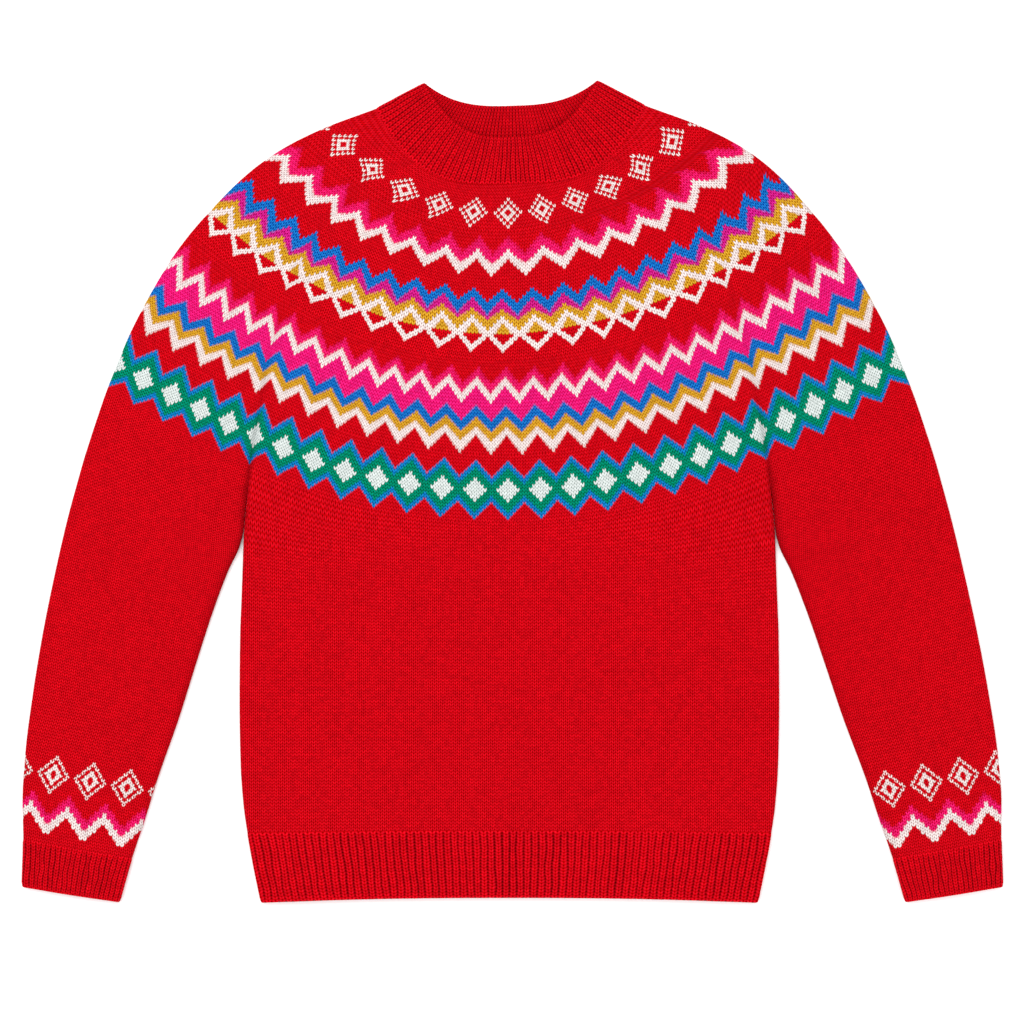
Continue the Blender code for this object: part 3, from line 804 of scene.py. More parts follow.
# Share of the colour beneath that shows in the gaps between the stitches of a yarn.
AIRY = {"white": 0.25, "ice white": 0.25}
CUFF_PEAK = 97  # column of the middle of a cuff's diamonds, from the middle of the yoke
CUFF_ROW = 210  # bands below this row lie on the sleeves, and mirror each other left and right
CHART = [
    # A row of small diamonds under the neckband.
    Diamond(
        repeat=11,
        peak=0,
        row=8,
        slope=1.0,
        rings=[
            Ring(4.7, "white", 0.0, True),
            Ring(3.4, "red", 0.0),
            Ring(2.5, "white", 0.8),
            Ring(1.2, "red", 0.8),
        ],
    ),
    # A pink and white zigzag.
    Zigzag(
        repeat=10,
        peak=0,
        starts=[
            Start(15.4, 0.95, "pink", 1.6),
            Start(18.9, 0.88, "white", 0.0, 0.2),
            Start(21.4, 1.03, "red"),
        ],
    ),
    # Zigzags in four colours, with a row of lozenges under them.
    Zigzag(
        repeat=8,
        peak=-2,
        starts=[
            Start(30.8, 0.96, "blue"),
            Start(34.0, 1.12, "magenta"),
            Start(36.7, 0.85, "mustard"),
            Start(38.7, 1.12, "white", 0.0, 0.2),
            Start(41.0, 1.2, "mustard"),
            Start(43.6, 0.0, "red"),
            Start(47.2, -1.16, "white", 0.0, 0.6, 44),
            Start(49.4, -1.25, "red", 0.0, 0.6, 44),
        ],
    ),
    # The broad band of zigzags.
    Zigzag(
        repeat=10,
        peak=0,
        starts=[
            Start(54.3, 0.98, "pink", 1.5),
            Start(57.3, 1.00, "white", 0.0, 0.2),
            Start(59.6, 1.1, "hot pink"),
            Start(65.35, 0.94, "blue"),
            Start(68.5, 0.94, "mustard"),
            Start(71.5, 0.94, "white", 0.0, 0.2),
            Start(74.15, 1.06, "red"),
        ],
    ),
    # Large diamonds at the foot of the yoke.
    Diamond(
        repeat=10,
        peak=0,
        row=90,
        slope=1.0,
        rings=[
            Ring(8.85, "sky blue", 0.25),
            Ring(6.9, "green", 0.25),
            Ring(3.3, "ice white", 0.2),
        ],
    ),
    # Diamonds and a pink and white zigzag over the cuffs.
    Diamond(
        repeat=9,
        peak=CUFF_PEAK,
        row=223,
        slope=1.6,
        rings=[
            Ring(6.3, "white", 0.6, True),
            Ring(5.1, "red", 0.6),
            Ring(3.4, "white", 0.6),
            Ring(1.5, "red", 0.6),
        ],
    ),
    Zigzag(
        repeat=9,
        peak=CUFF_PEAK - 5,
        starts=[
            Start(230.0, 1.5, "pink", 1.6),
            Start(233.2, 1.55, "white", 0.0, 0.2),
            Start(236.6, 1.55, "red"),
        ],
    ),
]


def off_peak(tree, column, band, first_row):
    """Number of stitches between a column and the nearest peak of a band."""
    if first_row > CUFF_ROW:
        column = add(tree, "ShaderNodeMath", {0: column}, operation="ABSOLUTE")
    moved = add(tree, "ShaderNodeMath", {0: column, 1: band.peak}, operation="SUBTRACT")
    return add(tree, "ShaderNodeMath", {0: moved, 1: band.repeat / 2}, operation="PINGPONG")


def both_ways(tree, stitch, band, first_row):
    """Stitches off the peak and rows down, once in whole stitches and once exactly."""
    exact = add(tree, "ShaderNodeMath", {0: stitch.place.outputs["X"], 1: 0.5}, operation="SUBTRACT")
    middle = add(tree, "ShaderNodeMath", {0: stitch.row, 1: 0.5}, operation="ADD")
    whole = off_peak(tree, stitch.column, band, first_row), middle
    return whole, (off_peak(tree, exact, band, first_row), stitch.place.outputs["Y"])


def blend_value(tree, first, second, share):
    """A value between two, or the first one itself where the share is 0."""
    if not share:
        return first
    return add(tree, "ShaderNodeMix", {"Factor": share, "A": first, "B": second}, data_type="FLOAT")


def lay_colour(tree, stitch, under, amount, colour, loose=False):
    """Lays a yarn over a colour by an amount, and less in the gaps between the stitches of an airy yarn."""
    airy, cover = (1.0, stitch.thin_cover) if loose else (AIRY.get(colour, 0.0), stitch.cover)
    if airy:
        covered = add(tree, "ShaderNodeMath", {0: cover, 1: airy, 2: 1.0 - airy}, operation="MULTIPLY_ADD")
        amount = add(tree, "ShaderNodeMath", {0: amount, 1: covered}, operation="MULTIPLY")
    inputs = {"Factor": amount, "A": under, "B": linear(YARN[colour])}
    return add(tree, "ShaderNodeMix", inputs, data_type="RGBA")


def zigzag_nodes(tree, stitch, band, colour):
    """Lays a zigzag band's colours, each from its start downwards."""
    ways = both_ways(tree, stitch, band, band.starts[0].row)
    for start in band.starts:
        depths = []
        for off, row in ways:
            depth = {0: off, 1: -start.slope, 2: row}
            depths.append(add(tree, "ShaderNodeMath", depth, operation="MULTIPLY_ADD"))
        depth = blend_value(tree, *depths, start.smooth)
        if start.soft:
            depth = {0: stitch.random, 1: start.soft / 2, 2: depth}
            depth = add(tree, "ShaderNodeMath", depth, operation="MULTIPLY_ADD")
        limits = {"Value": depth, "From Min": start.row, "From Max": start.row + max(start.soft, EDGE)}
        amount = add(tree, "ShaderNodeMapRange", limits)
        if start.after:
            late = {0: stitch.row, 1: start.after - 0.5}
            late = add(tree, "ShaderNodeMath", late, operation="GREATER_THAN")
            amount = add(tree, "ShaderNodeMath", {0: amount, 1: late}, operation="MULTIPLY")
        colour = lay_colour(tree, stitch, colour, amount, start.colour)
    return colour


def diamond_nodes(tree, stitch, band, colour):
    """Lays a diamond's rings from the outermost inwards."""
    distances = []
    for off, row in both_ways(tree, stitch, band, band.row):
        rows = add(tree, "ShaderNodeMath", {0: row, 1: band.row + 0.5}, operation="SUBTRACT")
        rows = add(tree, "ShaderNodeMath", {0: rows}, operation="ABSOLUTE")
        distance = {0: off, 1: band.slope, 2: rows}
        distances.append(add(tree, "ShaderNodeMath", distance, operation="MULTIPLY_ADD"))
    for ring in band.rings:
        distance = blend_value(tree, *distances, ring.smooth)
        edge = {"From Min": ring.distance - EDGE / 2, "From Max": ring.distance + EDGE / 2}
        amount = add(tree, "ShaderNodeMapRange", {"Value": distance, **edge, "To Min": 1.0, "To Max": 0.0})
        colour = lay_colour(tree, stitch, colour, amount, ring.colour, ring.loose)
    return colour


# %% [markdown]
# ## Wool
#
# The yarn is soft spun lambswool: matt, a little hairy, with a faint glow where light grazes it. That is a
# rough dielectric with hardly any specular and a trace of sheen. Light that gets into the gaps between the
# legs goes from yarn to yarn, and takes on the colour each time. That shade is painted into the colour: a
# gap gets painted shade that is not only darker but also deeper in colour, which is a power of the colour,
# where plain darkening would look sooty, and the top of a leg gets a painted highlight, lighter and paler.
# No two stitches take the dye or the light quite alike, so each gets its own brightness.

# %% Wool materials
STITCH_RELIEF = 0.0007  # height of a leg of yarn over the gaps, in metres
GAP_SHADE, LEG_SHADE = 0.54, 1.09  # painted shade in the gaps and painted highlight on the legs, as brightness of the colour
GAP_POWER, LEG_POWER = 2.0, 0.68  # power of the colour for the painted shade in the gaps and the painted highlight on the legs
CREASE_SHADE_STRENGTH = 0.42  # share of the light that the painted crease shade takes away at most
PALE_SHARE = 0.5  # pale yarn passes light on into its gaps, which takes this share of their shading away
UNEVEN = 0.10  # stitches are darker or brighter by up to this share
HAIRY = 0.16  # hairs are darker or brighter by up to this share
CLOUDY, CLOUD_SCALE = 0.02, 22.0  # the dye varies by this share, in patches of about 45 mm
NOISE = (0.3, 0.7)  # nearly all values of a noise texture lie between these
HAIR_RELIEF = 0.25  # height of the hairs, as a share of a leg's
WOOL_SURFACE = {
    "Roughness": 0.95,
    "Specular IOR Level": 0.01,
    "Sheen Weight": 0.01,
    "Sheen Roughness": 0.6,
    "Sheen Tint": (1.0, 0.3, 0.3, 1.0),
}


def wool_nodes(material, stitch, colour):
    """Paints shade and highlights of the stitches into a colour and gives it the wool's surface."""
    tree = material.node_tree
    shader = tree.nodes["Principled BSDF"]
    found = []
    # Painted shade in the gaps and a painted highlight on the legs: a brightness and a power of the colour.
    for in_gaps, on_legs in ((GAP_SHADE, LEG_SHADE), (GAP_POWER, LEG_POWER)):
        limits = {"From Max": 1.0, "To Min": in_gaps, "To Max": on_legs}
        found.append(add(tree, "ShaderNodeMapRange", {"Value": stitch.leg, **limits}))
    shade, power = found
    deep = add(tree, "ShaderNodeGamma", {"Color": colour, "Gamma": power})
    here = add(tree, "ShaderNodeTexCoord").outputs["Object"]
    cloud = {"Vector": here, "Scale": CLOUD_SCALE, "Detail": 3.0}
    cloud = add(tree, "ShaderNodeTexNoise", cloud).outputs["Fac"]
    varied = []
    for value, (low, high), share in (
        (stitch.random, (0.0, 1.0), UNEVEN),
        (stitch.fuzz, NOISE, HAIRY),
        (cloud, NOISE, CLOUDY),
    ):
        limits = {"From Min": low, "From Max": high, "To Min": 1.0 - share, "To Max": 1.0 + share}
        varied.append(add(tree, "ShaderNodeMapRange", {"Value": value, **limits}))
    uneven, hairs, cloud = varied
    factor = shade
    for part in (uneven, hairs):
        factor = add(tree, "ShaderNodeMath", {0: factor, 1: part}, operation="MULTIPLY")
    green = add(tree, "ShaderNodeSeparateColor", {0: colour}).outputs["Green"]
    pale = add(tree, "ShaderNodeMath", {0: green, 1: PALE_SHARE}, operation="MULTIPLY")
    factor = add(tree, "ShaderNodeMix", {"Factor": pale, "A": factor, "B": 1.0}, data_type="FLOAT")
    # Painted shade in the armhole crease and along the sleeves' inner edges darkens the colour.
    crease_shade = add(tree, "ShaderNodeAttribute", attribute_name="crease_shade").outputs["Fac"]
    crease_shade = add(tree, "ShaderNodeMath", {0: crease_shade, 1: -CREASE_SHADE_STRENGTH, 2: 1.0}, operation="MULTIPLY_ADD")
    for part in (cloud, crease_shade):
        factor = add(tree, "ShaderNodeMath", {0: factor, 1: part}, operation="MULTIPLY")
    shaded = add(tree, "ShaderNodeVectorMath", {0: deep, "Scale": factor}, operation="SCALE")
    tree.links.new(shaded.outputs["Vector"], shader.inputs["Base Color"])
    height = {0: stitch.fuzz, 1: HAIR_RELIEF, 2: stitch.leg}
    height = add(tree, "ShaderNodeMath", height, operation="MULTIPLY_ADD")
    bump = add(tree, "ShaderNodeBump", {"Height": height, "Distance": STITCH_RELIEF, "Strength": 0.8})
    tree.links.new(bump.outputs["Normal"], shader.inputs["Normal"])
    for name, value in WOOL_SURFACE.items():
        shader.inputs[name].default_value = value
    material.use_backface_culling = False


def chart_material():
    """Stocking stitch in wool, in the colours of the chart."""
    material = bpy.data.materials.new("lambswool_stocking_stitch_charted")
    material.use_nodes = True
    tree = material.node_tree
    stitch = stitch_nodes(tree, round_nodes(tree))
    colour = add(tree, "ShaderNodeRGB").outputs[0]
    colour.default_value = linear(YARN["red"])
    for band in CHART:
        make = zigzag_nodes if isinstance(band, Zigzag) else diamond_nodes
        colour = next(out for out in make(tree, stitch, band, colour).outputs if out.enabled)
    wool_nodes(material, stitch, colour)
    return material


GROOVE_SHADE = 0.45  # painted shade: share of the light that the bottom of a groove keeps back
GROOVE_REACH = 0.45  # share of a rib over which the shade of a groove fades


def rib_material():
    """1x1 rib in wool: one column of V stitches to each ridge, and painted shade in the grooves between them.
    """
    material = bpy.data.materials.new("lambswool_one_by_one_rib")
    material.use_nodes = True
    tree = material.node_tree
    straight = add(tree, "ShaderNodeUVMap", uv_map="stitches")
    stitch = stitch_nodes(tree, straight)
    place = add(tree, "ShaderNodeSeparateXYZ", {0: straight})
    off = add(tree, "ShaderNodeMath", {0: place.outputs["X"], 1: 0.5}, operation="PINGPONG")
    relief = add(tree, "ShaderNodeAttribute", attribute_name="relief").outputs["Fac"]
    painted_groove_shade = add(tree, "ShaderNodeMath", {0: relief, 1: -GROOVE_SHADE, 2: 1.0}, operation="MULTIPLY_ADD")
    groove = {"Value": off, "From Max": GROOVE_REACH, "To Min": painted_groove_shade, "To Max": 1.0}
    groove = add(tree, "ShaderNodeMapRange", groove, interpolation_type="SMOOTHSTEP")
    red = add(tree, "ShaderNodeRGB").outputs[0]
    red.default_value = linear(YARN["rib red"])
    colour = add(tree, "ShaderNodeVectorMath", {0: red, "Scale": groove}, operation="SCALE").outputs["Vector"]
    wool_nodes(material, stitch, colour)
    return material


KNIT, RIB = chart_material(), rib_material()
print(KNIT.name, "has", len(KNIT.node_tree.nodes), "nodes and", RIB.name, len(RIB.node_tree.nodes))

# %% [markdown]
# ## Handing a piece over
#
# Every finished shell rides with the garment and stands in for its solid. The size that it was knitted to
# is measured on the outer face itself, because laid cloth is neither stretched nor gathered, and printed.

# %% Piece and sheet
Cut = namedtuple("Cut", "width length area")


def cut_of(outer):
    """Greatest width, greatest length and area of a knitted piece, from the grid of its outer face."""
    across, down = np.diff(outer, axis=1), np.diff(outer, axis=0)
    width = np.linalg.norm(across, axis=-1).sum(axis=1).max()
    length = np.linalg.norm(down, axis=-1).sum(axis=0).max()
    area = np.linalg.norm(np.cross(across[:-1], down[:, :-1]), axis=-1).sum()
    return Cut(float(width), float(length), float(area))


def hand_over(mesh, node, material, cut):
    """Makes a piece of a mesh, rides it with the garment, hides its solid and prints its size."""
    piece = bpy.data.objects.new(node + "_knit", mesh)
    bpy.context.scene.collection.objects.link(piece)
    mesh.materials.clear()
    mesh.materials.append(material)
    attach(piece, "root")
    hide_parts(node)
    size = f"{cut.width:.3f} x {cut.length:.3f} m, {cut.area:.4f} m2"
    print(f"{piece.name}: {len(mesh.polygons)} faces, knitted {size}")
    return piece


# %% [markdown]
# ## Floor
#
# A plain pale sweep. It takes the soft contact shadow and nothing else, so one large quad is enough.

# %% Floor
FLOOR_SIZE, FLOOR_DROP = 8.0, 0.00005


def make_floor():
    """A large flat quad just under the cloth."""
    mesh = bpy.data.meshes.new("floor")
    half = FLOOR_SIZE / 2
    corners = [(-half, -half), (half, -half), (half, half), (-half, half)]
    mesh.from_pydata([(x, y, -FLOOR_DROP) for x, y in corners], [], [(0, 1, 2, 3)])
    # Matt white painted board: even and without gloss.
    paint = bpy.data.materials.new("matt_white_paint")
    paint.use_nodes = True
    shader = paint.node_tree.nodes["Principled BSDF"]
    shader.inputs["Base Color"].default_value = linear("#FDFDFD")
    shader.inputs["Roughness"].default_value = 0.9
    shader.inputs["Specular IOR Level"].default_value = 0.1
    mesh.materials.append(paint)
    made = bpy.data.objects.new("floor", mesh)
    bpy.context.scene.collection.objects.link(made)
    return made


floor = make_floor()
print("floor is", FLOOR_SIZE, "m wide")

# %% [markdown]
# ## Front and back
#
# Each panel is one shell from the neck seam to the hem rib. The front gets about a quad to a stitch, so
# that its outline, its edge rolls and its creases stay smooth. The back lies flat and hides, and half as
# many do there.

# %% Front and back panels
PANEL_COLUMNS = {TOP: 150, BOTTOM: 80}  # quads across the outer face
INNER_COLUMNS, INNER_ROW_STEP = 20, 10  # quads across the inner face, and rows to one of them


def make_panel(node, layer):
    """A panel's shell."""
    rows = rows_to(HEM_RIB_ROW)
    strip = lay_strip(panel_keys(layer), rows, layer)
    across = columns(strip, PANEL_COLUMNS[layer])
    outer = surface(strip, across, 0.0)
    inner_strip = lay_strip(panel_keys(layer), rows[::INNER_ROW_STEP], layer)
    inner_across = columns(inner_strip, INNER_COLUMNS)
    inner = surface(inner_strip, inner_across, -WALL)
    crease_shade = np.zeros(across.shape)
    if layer == TOP:
        outer = sink_top(strip, across, outer, (True, True))
        inner = sink_top(inner_strip, inner_across, inner, (True, True))
        inner[..., 2] = np.maximum(inner[..., 2], CLEAR_OF_BACK)
        # Painted shade near the armhole crease.
        crease_shade = painted_crease_shade(strip, across, on_sleeve=False)
    shell = Shell()
    outside = shell.grid(outer, stitch_places(strip, across - face_length(strip) / 2))
    inside = shell.grid(inner, stitch_places(inner_strip, inner_across - face_length(inner_strip) / 2))
    mesh = close_wall(shell, outside, inside, node + "_knit", crease_shade)
    return hand_over(mesh, node, KNIT, cut_of(outer))


back = make_panel("back", BOTTOM)
make_panel("front", TOP)

# %% [markdown]
# ## Sleeves
#
# A sleeve is a tube that was knitted in the round. Laid flat it is one strip of cloth: from the armhole
# across the top, round the outer fold, and back underneath. The strip's two edges meet at the underarm.

# %% Sleeves
SLEEVE_COLUMNS = {TOP: 52, BOTTOM: 28}  # quads across the outer face
SLEEVE_INNER_COLUMNS = {TOP: 10, BOTTOM: 8}


def around(top, bottom):
    """Joins a top layer, read from the armhole to the fold, with the bottom layer, read on from there."""
    return np.concatenate([top, np.flip(bottom, axis=1)[:, 1:]], axis=1)


def sleeve_grid(side, rows, column_counts, lift):
    """Points, stitch places and painted crease shade of one face of a sleeve."""
    parts = []
    for layer in (TOP, BOTTOM):
        strip = lay_strip(sleeve_keys(side, layer), rows, layer)
        across = columns(strip, column_counts[layer])
        points = surface(strip, across, lift)
        if layer == TOP:
            points = sink_top(strip, across, points, (True, False))
            if lift:
                points[..., 2] = np.maximum(points[..., 2], CLEAR_OF_BACK)
        places = stitch_places(strip, face_length(strip) - across, side)
        parts.append((points, places, painted_crease_shade(strip, across, on_sleeve=True)))
    (top, top_places, top_shade), (bottom, bottom_places, bottom_shade) = parts
    return around(top, bottom), around(top_places, bottom_places), around(top_shade, bottom_shade)


def make_sleeve(node, side):
    """A sleeve's shell."""
    rows = rows_to(CUFF_RIB_ROW)
    shell = Shell()
    outer, places, crease_shade = sleeve_grid(side, rows, SLEEVE_COLUMNS, 0.0)
    outside = shell.grid(outer, places)
    inner_rows = np.append(rows[:-1:INNER_ROW_STEP], rows[-1])
    inner, places, _ = sleeve_grid(side, inner_rows, SLEEVE_INNER_COLUMNS, -WALL)
    inside = shell.grid(inner, places)
    mesh = close_wall(shell, outside, inside, node + "_knit", crease_shade)
    hand_over(mesh, node, KNIT, cut_of(outer))


make_sleeve("sleeve_left", LEFT)
make_sleeve("sleeve_right", RIGHT)

# %% [markdown]
# ## Raising ribs with Geometry Nodes
#
# In 1x1 rib every other column of stitches stands up and its neighbour sinks behind it, so the band is a
# row of round ridges with narrow grooves. Modelling one ridge and arraying it would not follow a band that
# curves and narrows. Instead each band is a smooth grid that carries, at every point, how many ribs have
# gone by, how much relief there is, and which way is out, and one node tree lifts it into ridges.

# %% Node tree that raises ribs
PARTING_WIDTH, PARTING_DEPTH = 0.3, 0.10  # the two legs of a ridge's stitches part along its middle
GROOVE_SHARPNESS = 1.8  # power of the fall from a ridge to its grooves
RibSockets = namedtuple("RibSockets", "depth sharpness yarn")


def rib_tree():
    """The node tree and the identifiers of its inputs."""
    tree = bpy.data.node_groups.new("raise_ribs", "GeometryNodeTree")
    new_socket = tree.interface.new_socket
    new_socket("Band", in_out="INPUT", socket_type="NodeSocketGeometry")
    depth = new_socket("Rib depth", in_out="INPUT", socket_type="NodeSocketFloat")
    sharpness = new_socket("Groove sharpness", in_out="INPUT", socket_type="NodeSocketFloat")
    yarn = new_socket("Yarn", in_out="INPUT", socket_type="NodeSocketMaterial")
    new_socket("Band", in_out="OUTPUT", socket_type="NodeSocketGeometry")
    given = add(tree, "NodeGroupInput").outputs
    kinds = {"rib": "FLOAT", "relief": "FLOAT", "resting": "FLOAT", "outward": "FLOAT_VECTOR"}
    read = {}
    for name, kind in kinds.items():
        read[name] = add(tree, "GeometryNodeInputNamedAttribute", {"Name": name}, data_type=kind)
    inside = add(tree, "ShaderNodeMath", {0: read["rib"]}, operation="FRACT")
    centred = add(tree, "ShaderNodeMath", {0: inside, 1: 2.0, 2: -1.0}, operation="MULTIPLY_ADD")
    side = add(tree, "ShaderNodeMath", {0: centred}, operation="ABSOLUTE")
    slope = add(tree, "ShaderNodeMath", {0: side, 1: given["Groove sharpness"]}, operation="POWER")
    ridge = add(tree, "ShaderNodeMath", {0: 1.0, 1: slope}, operation="SUBTRACT")
    parting = {"Value": side, "From Max": PARTING_WIDTH, "To Min": PARTING_DEPTH, "To Max": 0.0}
    parting = add(tree, "ShaderNodeMapRange", parting)
    ridge = add(tree, "ShaderNodeMath", {0: ridge, 1: parting}, operation="SUBTRACT")
    ridge = add(tree, "ShaderNodeMath", {0: ridge, 1: read["resting"]}, operation="SUBTRACT")
    height = add(tree, "ShaderNodeMath", {0: ridge, 1: read["relief"]}, operation="MULTIPLY")
    height = add(tree, "ShaderNodeMath", {0: height, 1: given["Rib depth"]}, operation="MULTIPLY")
    offset = add(tree, "ShaderNodeVectorMath", {0: read["outward"], "Scale": height}, operation="SCALE")
    raised = add(tree, "GeometryNodeSetPosition", {"Geometry": given["Band"], "Offset": offset})
    real = add(tree, "GeometryNodeRealizeInstances", {"Geometry": raised})
    dressed = add(tree, "GeometryNodeSetMaterial", {"Geometry": real, "Material": given["Yarn"]})
    add(tree, "NodeGroupOutput", {"Band": dressed})
    return tree, RibSockets(depth.identifier, sharpness.identifier, yarn.identifier)


RIB_TREE, RIB_INPUTS = rib_tree()


def raise_ribs(mesh, depth):
    """Runs the tree on a band's mesh and gives back the plain mesh that it makes."""
    carrier = bpy.data.objects.new(mesh.name, mesh)
    bpy.context.scene.collection.objects.link(carrier)
    modifier = carrier.modifiers.new("raise_ribs", "NODES")
    modifier.node_group = RIB_TREE
    modifier[RIB_INPUTS.depth] = depth
    modifier[RIB_INPUTS.sharpness] = GROOVE_SHARPNESS
    modifier[RIB_INPUTS.yarn] = RIB
    evaluated = carrier.evaluated_get(bpy.context.evaluated_depsgraph_get())
    made = bpy.data.meshes.new_from_object(evaluated)
    carrier.modifiers.remove(modifier)
    bpy.data.objects.remove(carrier)
    made.name = mesh.name
    bpy.data.meshes.remove(mesh)
    return made


print(RIB_TREE.name, "has", len(RIB_TREE.nodes), "nodes")

# %% [markdown]
# ## Bands of rib
#
# A band runs from its seam down the outer face, round its cast-off edge and back up the inner face, as one
# closed shell. The relief grows over the first row or two and fades towards the rolled edge. On the side
# that rests on the floor the grooves go up into the band, so that it still lies flat.

# %% Bands
RIB_DEPTH = 0.0009
RIB_FACETS = 8  # columns of points to a rib
RIB_WOBBLE = 0.00040  # how far a rib strays to the side as it runs down the band
RIB_UNEVEN = 0.25  # ribs differ by up to this share in height
WOBBLE_KNOTS = 5  # places down a band at which a rib's stray is drawn
EDGE_FACETS = 6  # facets round the cast-off edge
EDGE_FLATTENING = 0.003  # distance from the cast-off edge over which the ribs flatten
RESTING_SLOPE = -0.3  # a face that points down by more than this rests on what lies below
PROBE = 0.0001  # small lift that shows which way is out
rng = np.random.default_rng(7)
Station = namedtuple("Station", "row lift relief inside")
# span is the first and the last row, row_height the height of one of them, and row_scale the rows of rib
# stitches to each. steps are the quads down the outer and the inner face. ragged is by how much the ribs
# differ in where they start, and grow is the distance over which they rise, both in metres. edge is the
# share of the relief that is left at the cast-off edge.
Band = namedtuple("Band", "span row_height row_scale ribs steps ragged grow edge")


def band_stations(band):
    """Stations of a band's section: down its outer face, round its edge and back up its inner face."""
    (first, last), (outer_steps, inner_steps) = band.span, band.steps
    radius = WALL / 2
    turn_row = last - radius / band.row_height
    found = []
    for row in np.linspace(first, turn_row, outer_steps + 1):
        to_edge = ease((turn_row - row) * band.row_height / EDGE_FLATTENING)
        found.append(Station(row, 0.0, band.edge + (1.0 - band.edge) * to_edge, False))
    for step in range(1, EDGE_FACETS):
        angle = math.pi * step / EDGE_FACETS
        row = turn_row + radius / band.row_height * math.sin(angle)
        found.append(Station(row, radius * (math.cos(angle) - 1.0), band.edge, step > EDGE_FACETS / 2))
    for row in np.linspace(turn_row, first, inner_steps + 1):
        to_edge = ease((turn_row - row) * band.row_height / EDGE_FLATTENING)
        found.append(Station(row, -WALL, band.edge + (1.0 - band.edge) * to_edge, True))
    return found


def outer_count(stations):
    """Number of stations on the outer side of a band, its edge included."""
    return sum(not station.inside for station in stations)


def wobble(distance, ribs, size):
    """Small sideways wander of each rib as it runs down the band, the same at both of its borders."""
    rows, width = distance.shape
    knots = rng.normal(size=(WOBBLE_KNOTS, ribs + 1)) * size
    knots[:, 0] = knots[:, -1] = 0.0
    down = np.linspace(0, WOBBLE_KNOTS - 1, rows)
    index = np.clip(down.astype(int), 0, WOBBLE_KNOTS - 2)
    share = ease(down - index)[:, None]
    per_rib = knots[index] * (1.0 - share) + knots[index + 1] * share
    place = np.linspace(0, ribs, width)
    return distance + np.stack([np.interp(place, np.arange(ribs + 1), row) for row in per_rib])


def band_layer(keys, layer, band, stations):
    """Points and rib attributes of one layer of a band."""
    strip = lay_strip(keys, [station.row for station in stations], layer)
    lift = np.array([station.lift for station in stations])[:, None]
    inside = np.array([station.inside for station in stations])[:, None]
    ribs, outer = band.ribs, outer_count(stations)
    share = np.linspace(0.0, 1.0, ribs * RIB_FACETS + 1)
    distance = face_length(strip) * share
    distance[:outer] = wobble(distance[:outer], ribs, RIB_WOBBLE)
    points = surface(strip, distance, lift)
    away = surface(strip, distance, lift + PROBE) - points
    away /= np.maximum(np.linalg.norm(away, axis=-1, keepdims=True), 1e-9)
    outward = np.where(inside[..., None], -away, away)
    rib = share * ribs + np.where(inside, 0.5, 0.0)
    middles = np.arange(ribs) + 0.5
    start = np.interp(share * ribs, middles, rng.uniform(0.0, band.ragged, ribs))
    height = np.interp(share * ribs, middles, rng.uniform(1.0 - RIB_UNEVEN, 1.0 + RIB_UNEVEN, ribs))
    down = (strip.rows[:, None] - band.span[0]) * band.row_height
    risen = np.where(inside, 1.0, ease((down - start) / band.grow))
    relief = np.array([station.relief for station in stations])[:, None] * risen * height
    resting = np.where((outward[..., 2] < RESTING_SLOPE) & ~inside, 1.0, 0.0)
    row = strip.rows[:, None] + 0.0 * share
    return points, rib, relief, resting, outward, row


def make_band(node, keys_of, layers, band):
    """A band of rib over one layer, or round both."""
    stations = band_stations(band)
    parts = [band_layer(keys_of(layer), layer, band, stations) for layer in layers]
    ring = len(parts) == 2
    if ring:
        joined = []
        for top, bottom in zip(*parts):
            joined.append(around(top, bottom)[:, :-1])
        rib = np.concatenate([parts[0][1], np.flip(2 * band.ribs - parts[1][1], axis=1)[:, 1:]], axis=1)
        row = around(parts[0][5], parts[1][5])
    else:
        joined = list(parts[0])
        rib, row = joined[1], joined[5]
    points, _, relief, resting, outward, _ = joined
    shell = Shell()
    numbers = shell.grid(points, np.stack([rib, row * band.row_scale], axis=-1), ring=ring)
    shell.zip(numbers[0], numbers[-1])
    half = outer_count(stations)
    if not ring:
        for side in (0, -1):
            shell.zip(numbers[:half, side], numbers[half - 1 :, side][::-1])
    width = points.shape[1]
    attributes = {
        "rib": rib[:, :width].ravel(),
        "relief": relief.ravel(),
        "resting": resting.ravel(),
        "outward": outward.reshape(-1, 3),
    }
    mesh = raise_ribs(shell.mesh(node + "_knit", attributes), RIB_DEPTH)
    outer = points[:half] if not ring else np.concatenate([points[:half], points[:half, :1]], axis=1)
    return hand_over(mesh, node, RIB, cut_of(outer))


# %% [markdown]
# ## Hem, cuffs and neckband
#
# The hem has one half under each panel. The cuffs and the neckband are rings. The inside of the back
# neckband shows through the neck opening, so its inner face has ribs as well, half a rib out of step with
# the outer face: what is a ridge on one side of the knitting is a groove on the other.

# %% Hem rib
RIB_ROW_SCALE = 1.1  # rib is knitted tighter, with this many rows to each of stocking stitch
hem_span = (HEM_RIB_ROW + SEAM_GAP / 2 / ROW_HEIGHT, HEM_END_ROW)
hem = Band(
    span=hem_span,
    row_height=ROW_HEIGHT,
    row_scale=RIB_ROW_SCALE,
    ribs=72,
    steps=(30, 8),
    ragged=0.0010,
    grow=0.0022,
    edge=0.12,
)
hem_back = make_band("hem_rib_back", panel_keys, [BOTTOM], hem)
make_band("hem_rib_front", panel_keys, [TOP], hem)

# %% Cuffs
cuff_span = (CUFF_RIB_ROW + SEAM_GAP / 2 / ROW_HEIGHT, CUFF_END_ROW)
cuff = hem._replace(span=cuff_span, ribs=22, steps=(28, 8))
for side, name in ((LEFT, "left"), (RIGHT, "right")):
    make_band("cuff_rib_" + name, partial(sleeve_keys, side), [TOP, BOTTOM], cuff)

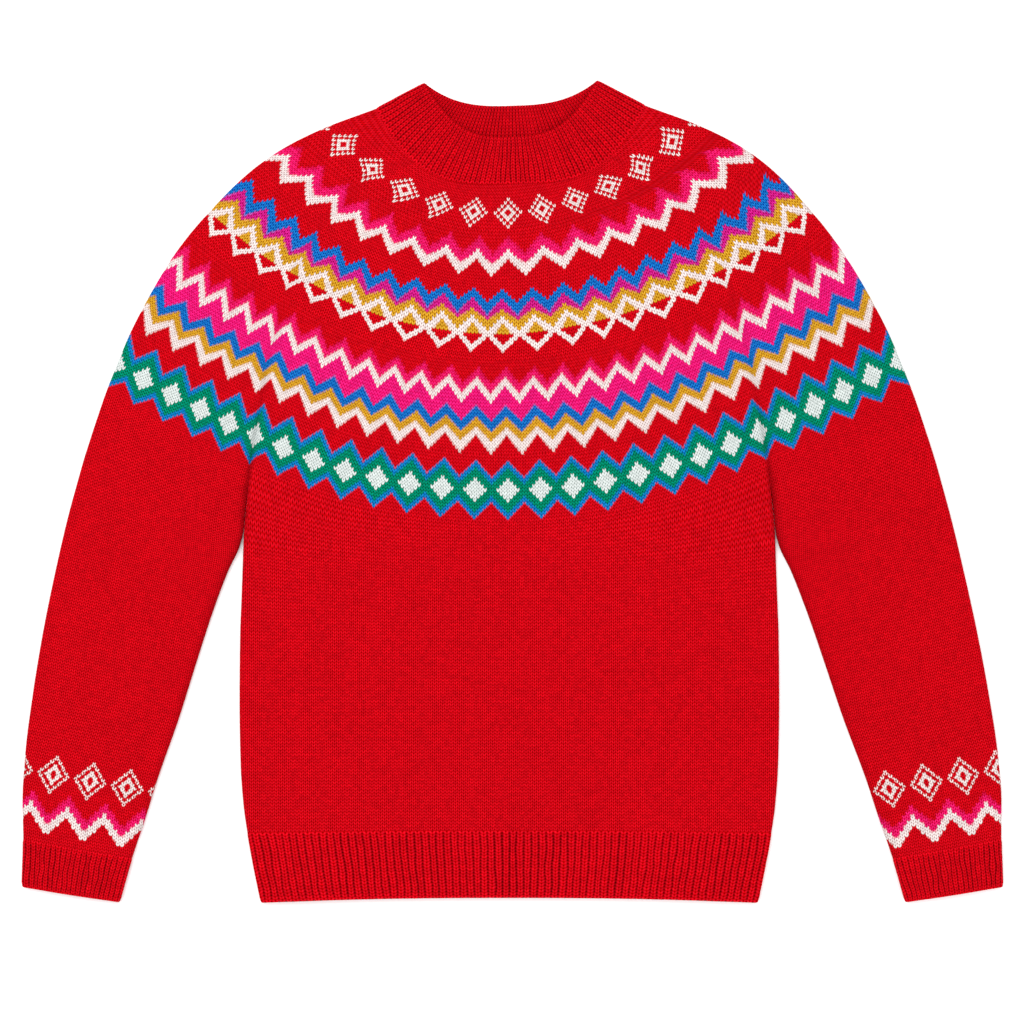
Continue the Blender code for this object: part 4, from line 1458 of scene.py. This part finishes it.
# %% Neckband
# Its rows are numbered from 0 to 1, so one of them is as high as the whole band.
neck = Band(
    span=(SEAM_GAP / NECK_DEPTH, 1.0),
    row_height=NECK_DEPTH,
    row_scale=RIB_ROW_SCALE * NECK_DEPTH / ROW_HEIGHT,
    ribs=66,
    steps=(24, 20),
    ragged=0.0,
    grow=0.0025,
    edge=0.8,
)
make_band("neckband", neck_keys, [TOP, BOTTOM], neck)

# %% [markdown]
# ## Light and camera
#
# Flat lays are shot from straight above with big soft lights, so that colours read evenly. A bright sky
# gives the even part. A large softbox at the upper left is twice as strong as the one across from it,
# because texture only shows when more of the light comes from one side. A long lens keeps the edges of the
# cloth from leaning outwards.

# %% Lights
Lamp = namedtuple("Lamp", "name place size watts")
LAMPS = [
    Lamp("softbox_key", (-0.9, 1.05, 1.9), 1.6, 30.0),
    Lamp("softbox_fill", (1.4, -0.9, 1.9), 2.2, 15.0),
]
SKY_STRENGTH = 1.05
for lamp in LAMPS:
    data = bpy.data.lights.new(lamp.name, "AREA")
    data.size, data.energy = lamp.size, lamp.watts
    light = bpy.data.objects.new(lamp.name, data)
    light.location = lamp.place
    aim = -light.location.normalized()
    light.rotation_euler = aim.to_track_quat("-Z", "Y").to_euler()
    bpy.context.scene.collection.objects.link(light)
world = bpy.data.worlds.new("studio")
world.use_nodes = True
world.node_tree.nodes["Background"].inputs["Color"].default_value = (1.0, 1.0, 1.0, 1.0)
world.node_tree.nodes["Background"].inputs["Strength"].default_value = SKY_STRENGTH
bpy.context.scene.world = world
bpy.context.scene.view_settings.view_transform = "Standard"
print(len(LAMPS), "lamps and a sky of", SKY_STRENGTH)

# %% Camera
VIEW_CENTRE = (-0.0004, -0.0174)  # middle of the view on the cloth
VIEW_WIDTH = 0.8704  # width of the view on the cloth
CAMERA_HEIGHT, CLOTH_HEIGHT = 2.2, 0.006
camera_data = bpy.data.cameras.new("overhead")
camera_data.lens = camera_data.sensor_width * (CAMERA_HEIGHT - CLOTH_HEIGHT) / VIEW_WIDTH
camera = bpy.data.objects.new("overhead", camera_data)
camera.location = (*VIEW_CENTRE, CAMERA_HEIGHT)
bpy.context.scene.collection.objects.link(camera)
bpy.context.scene.camera = camera
print("lens", round(camera_data.lens, 1), "mm")
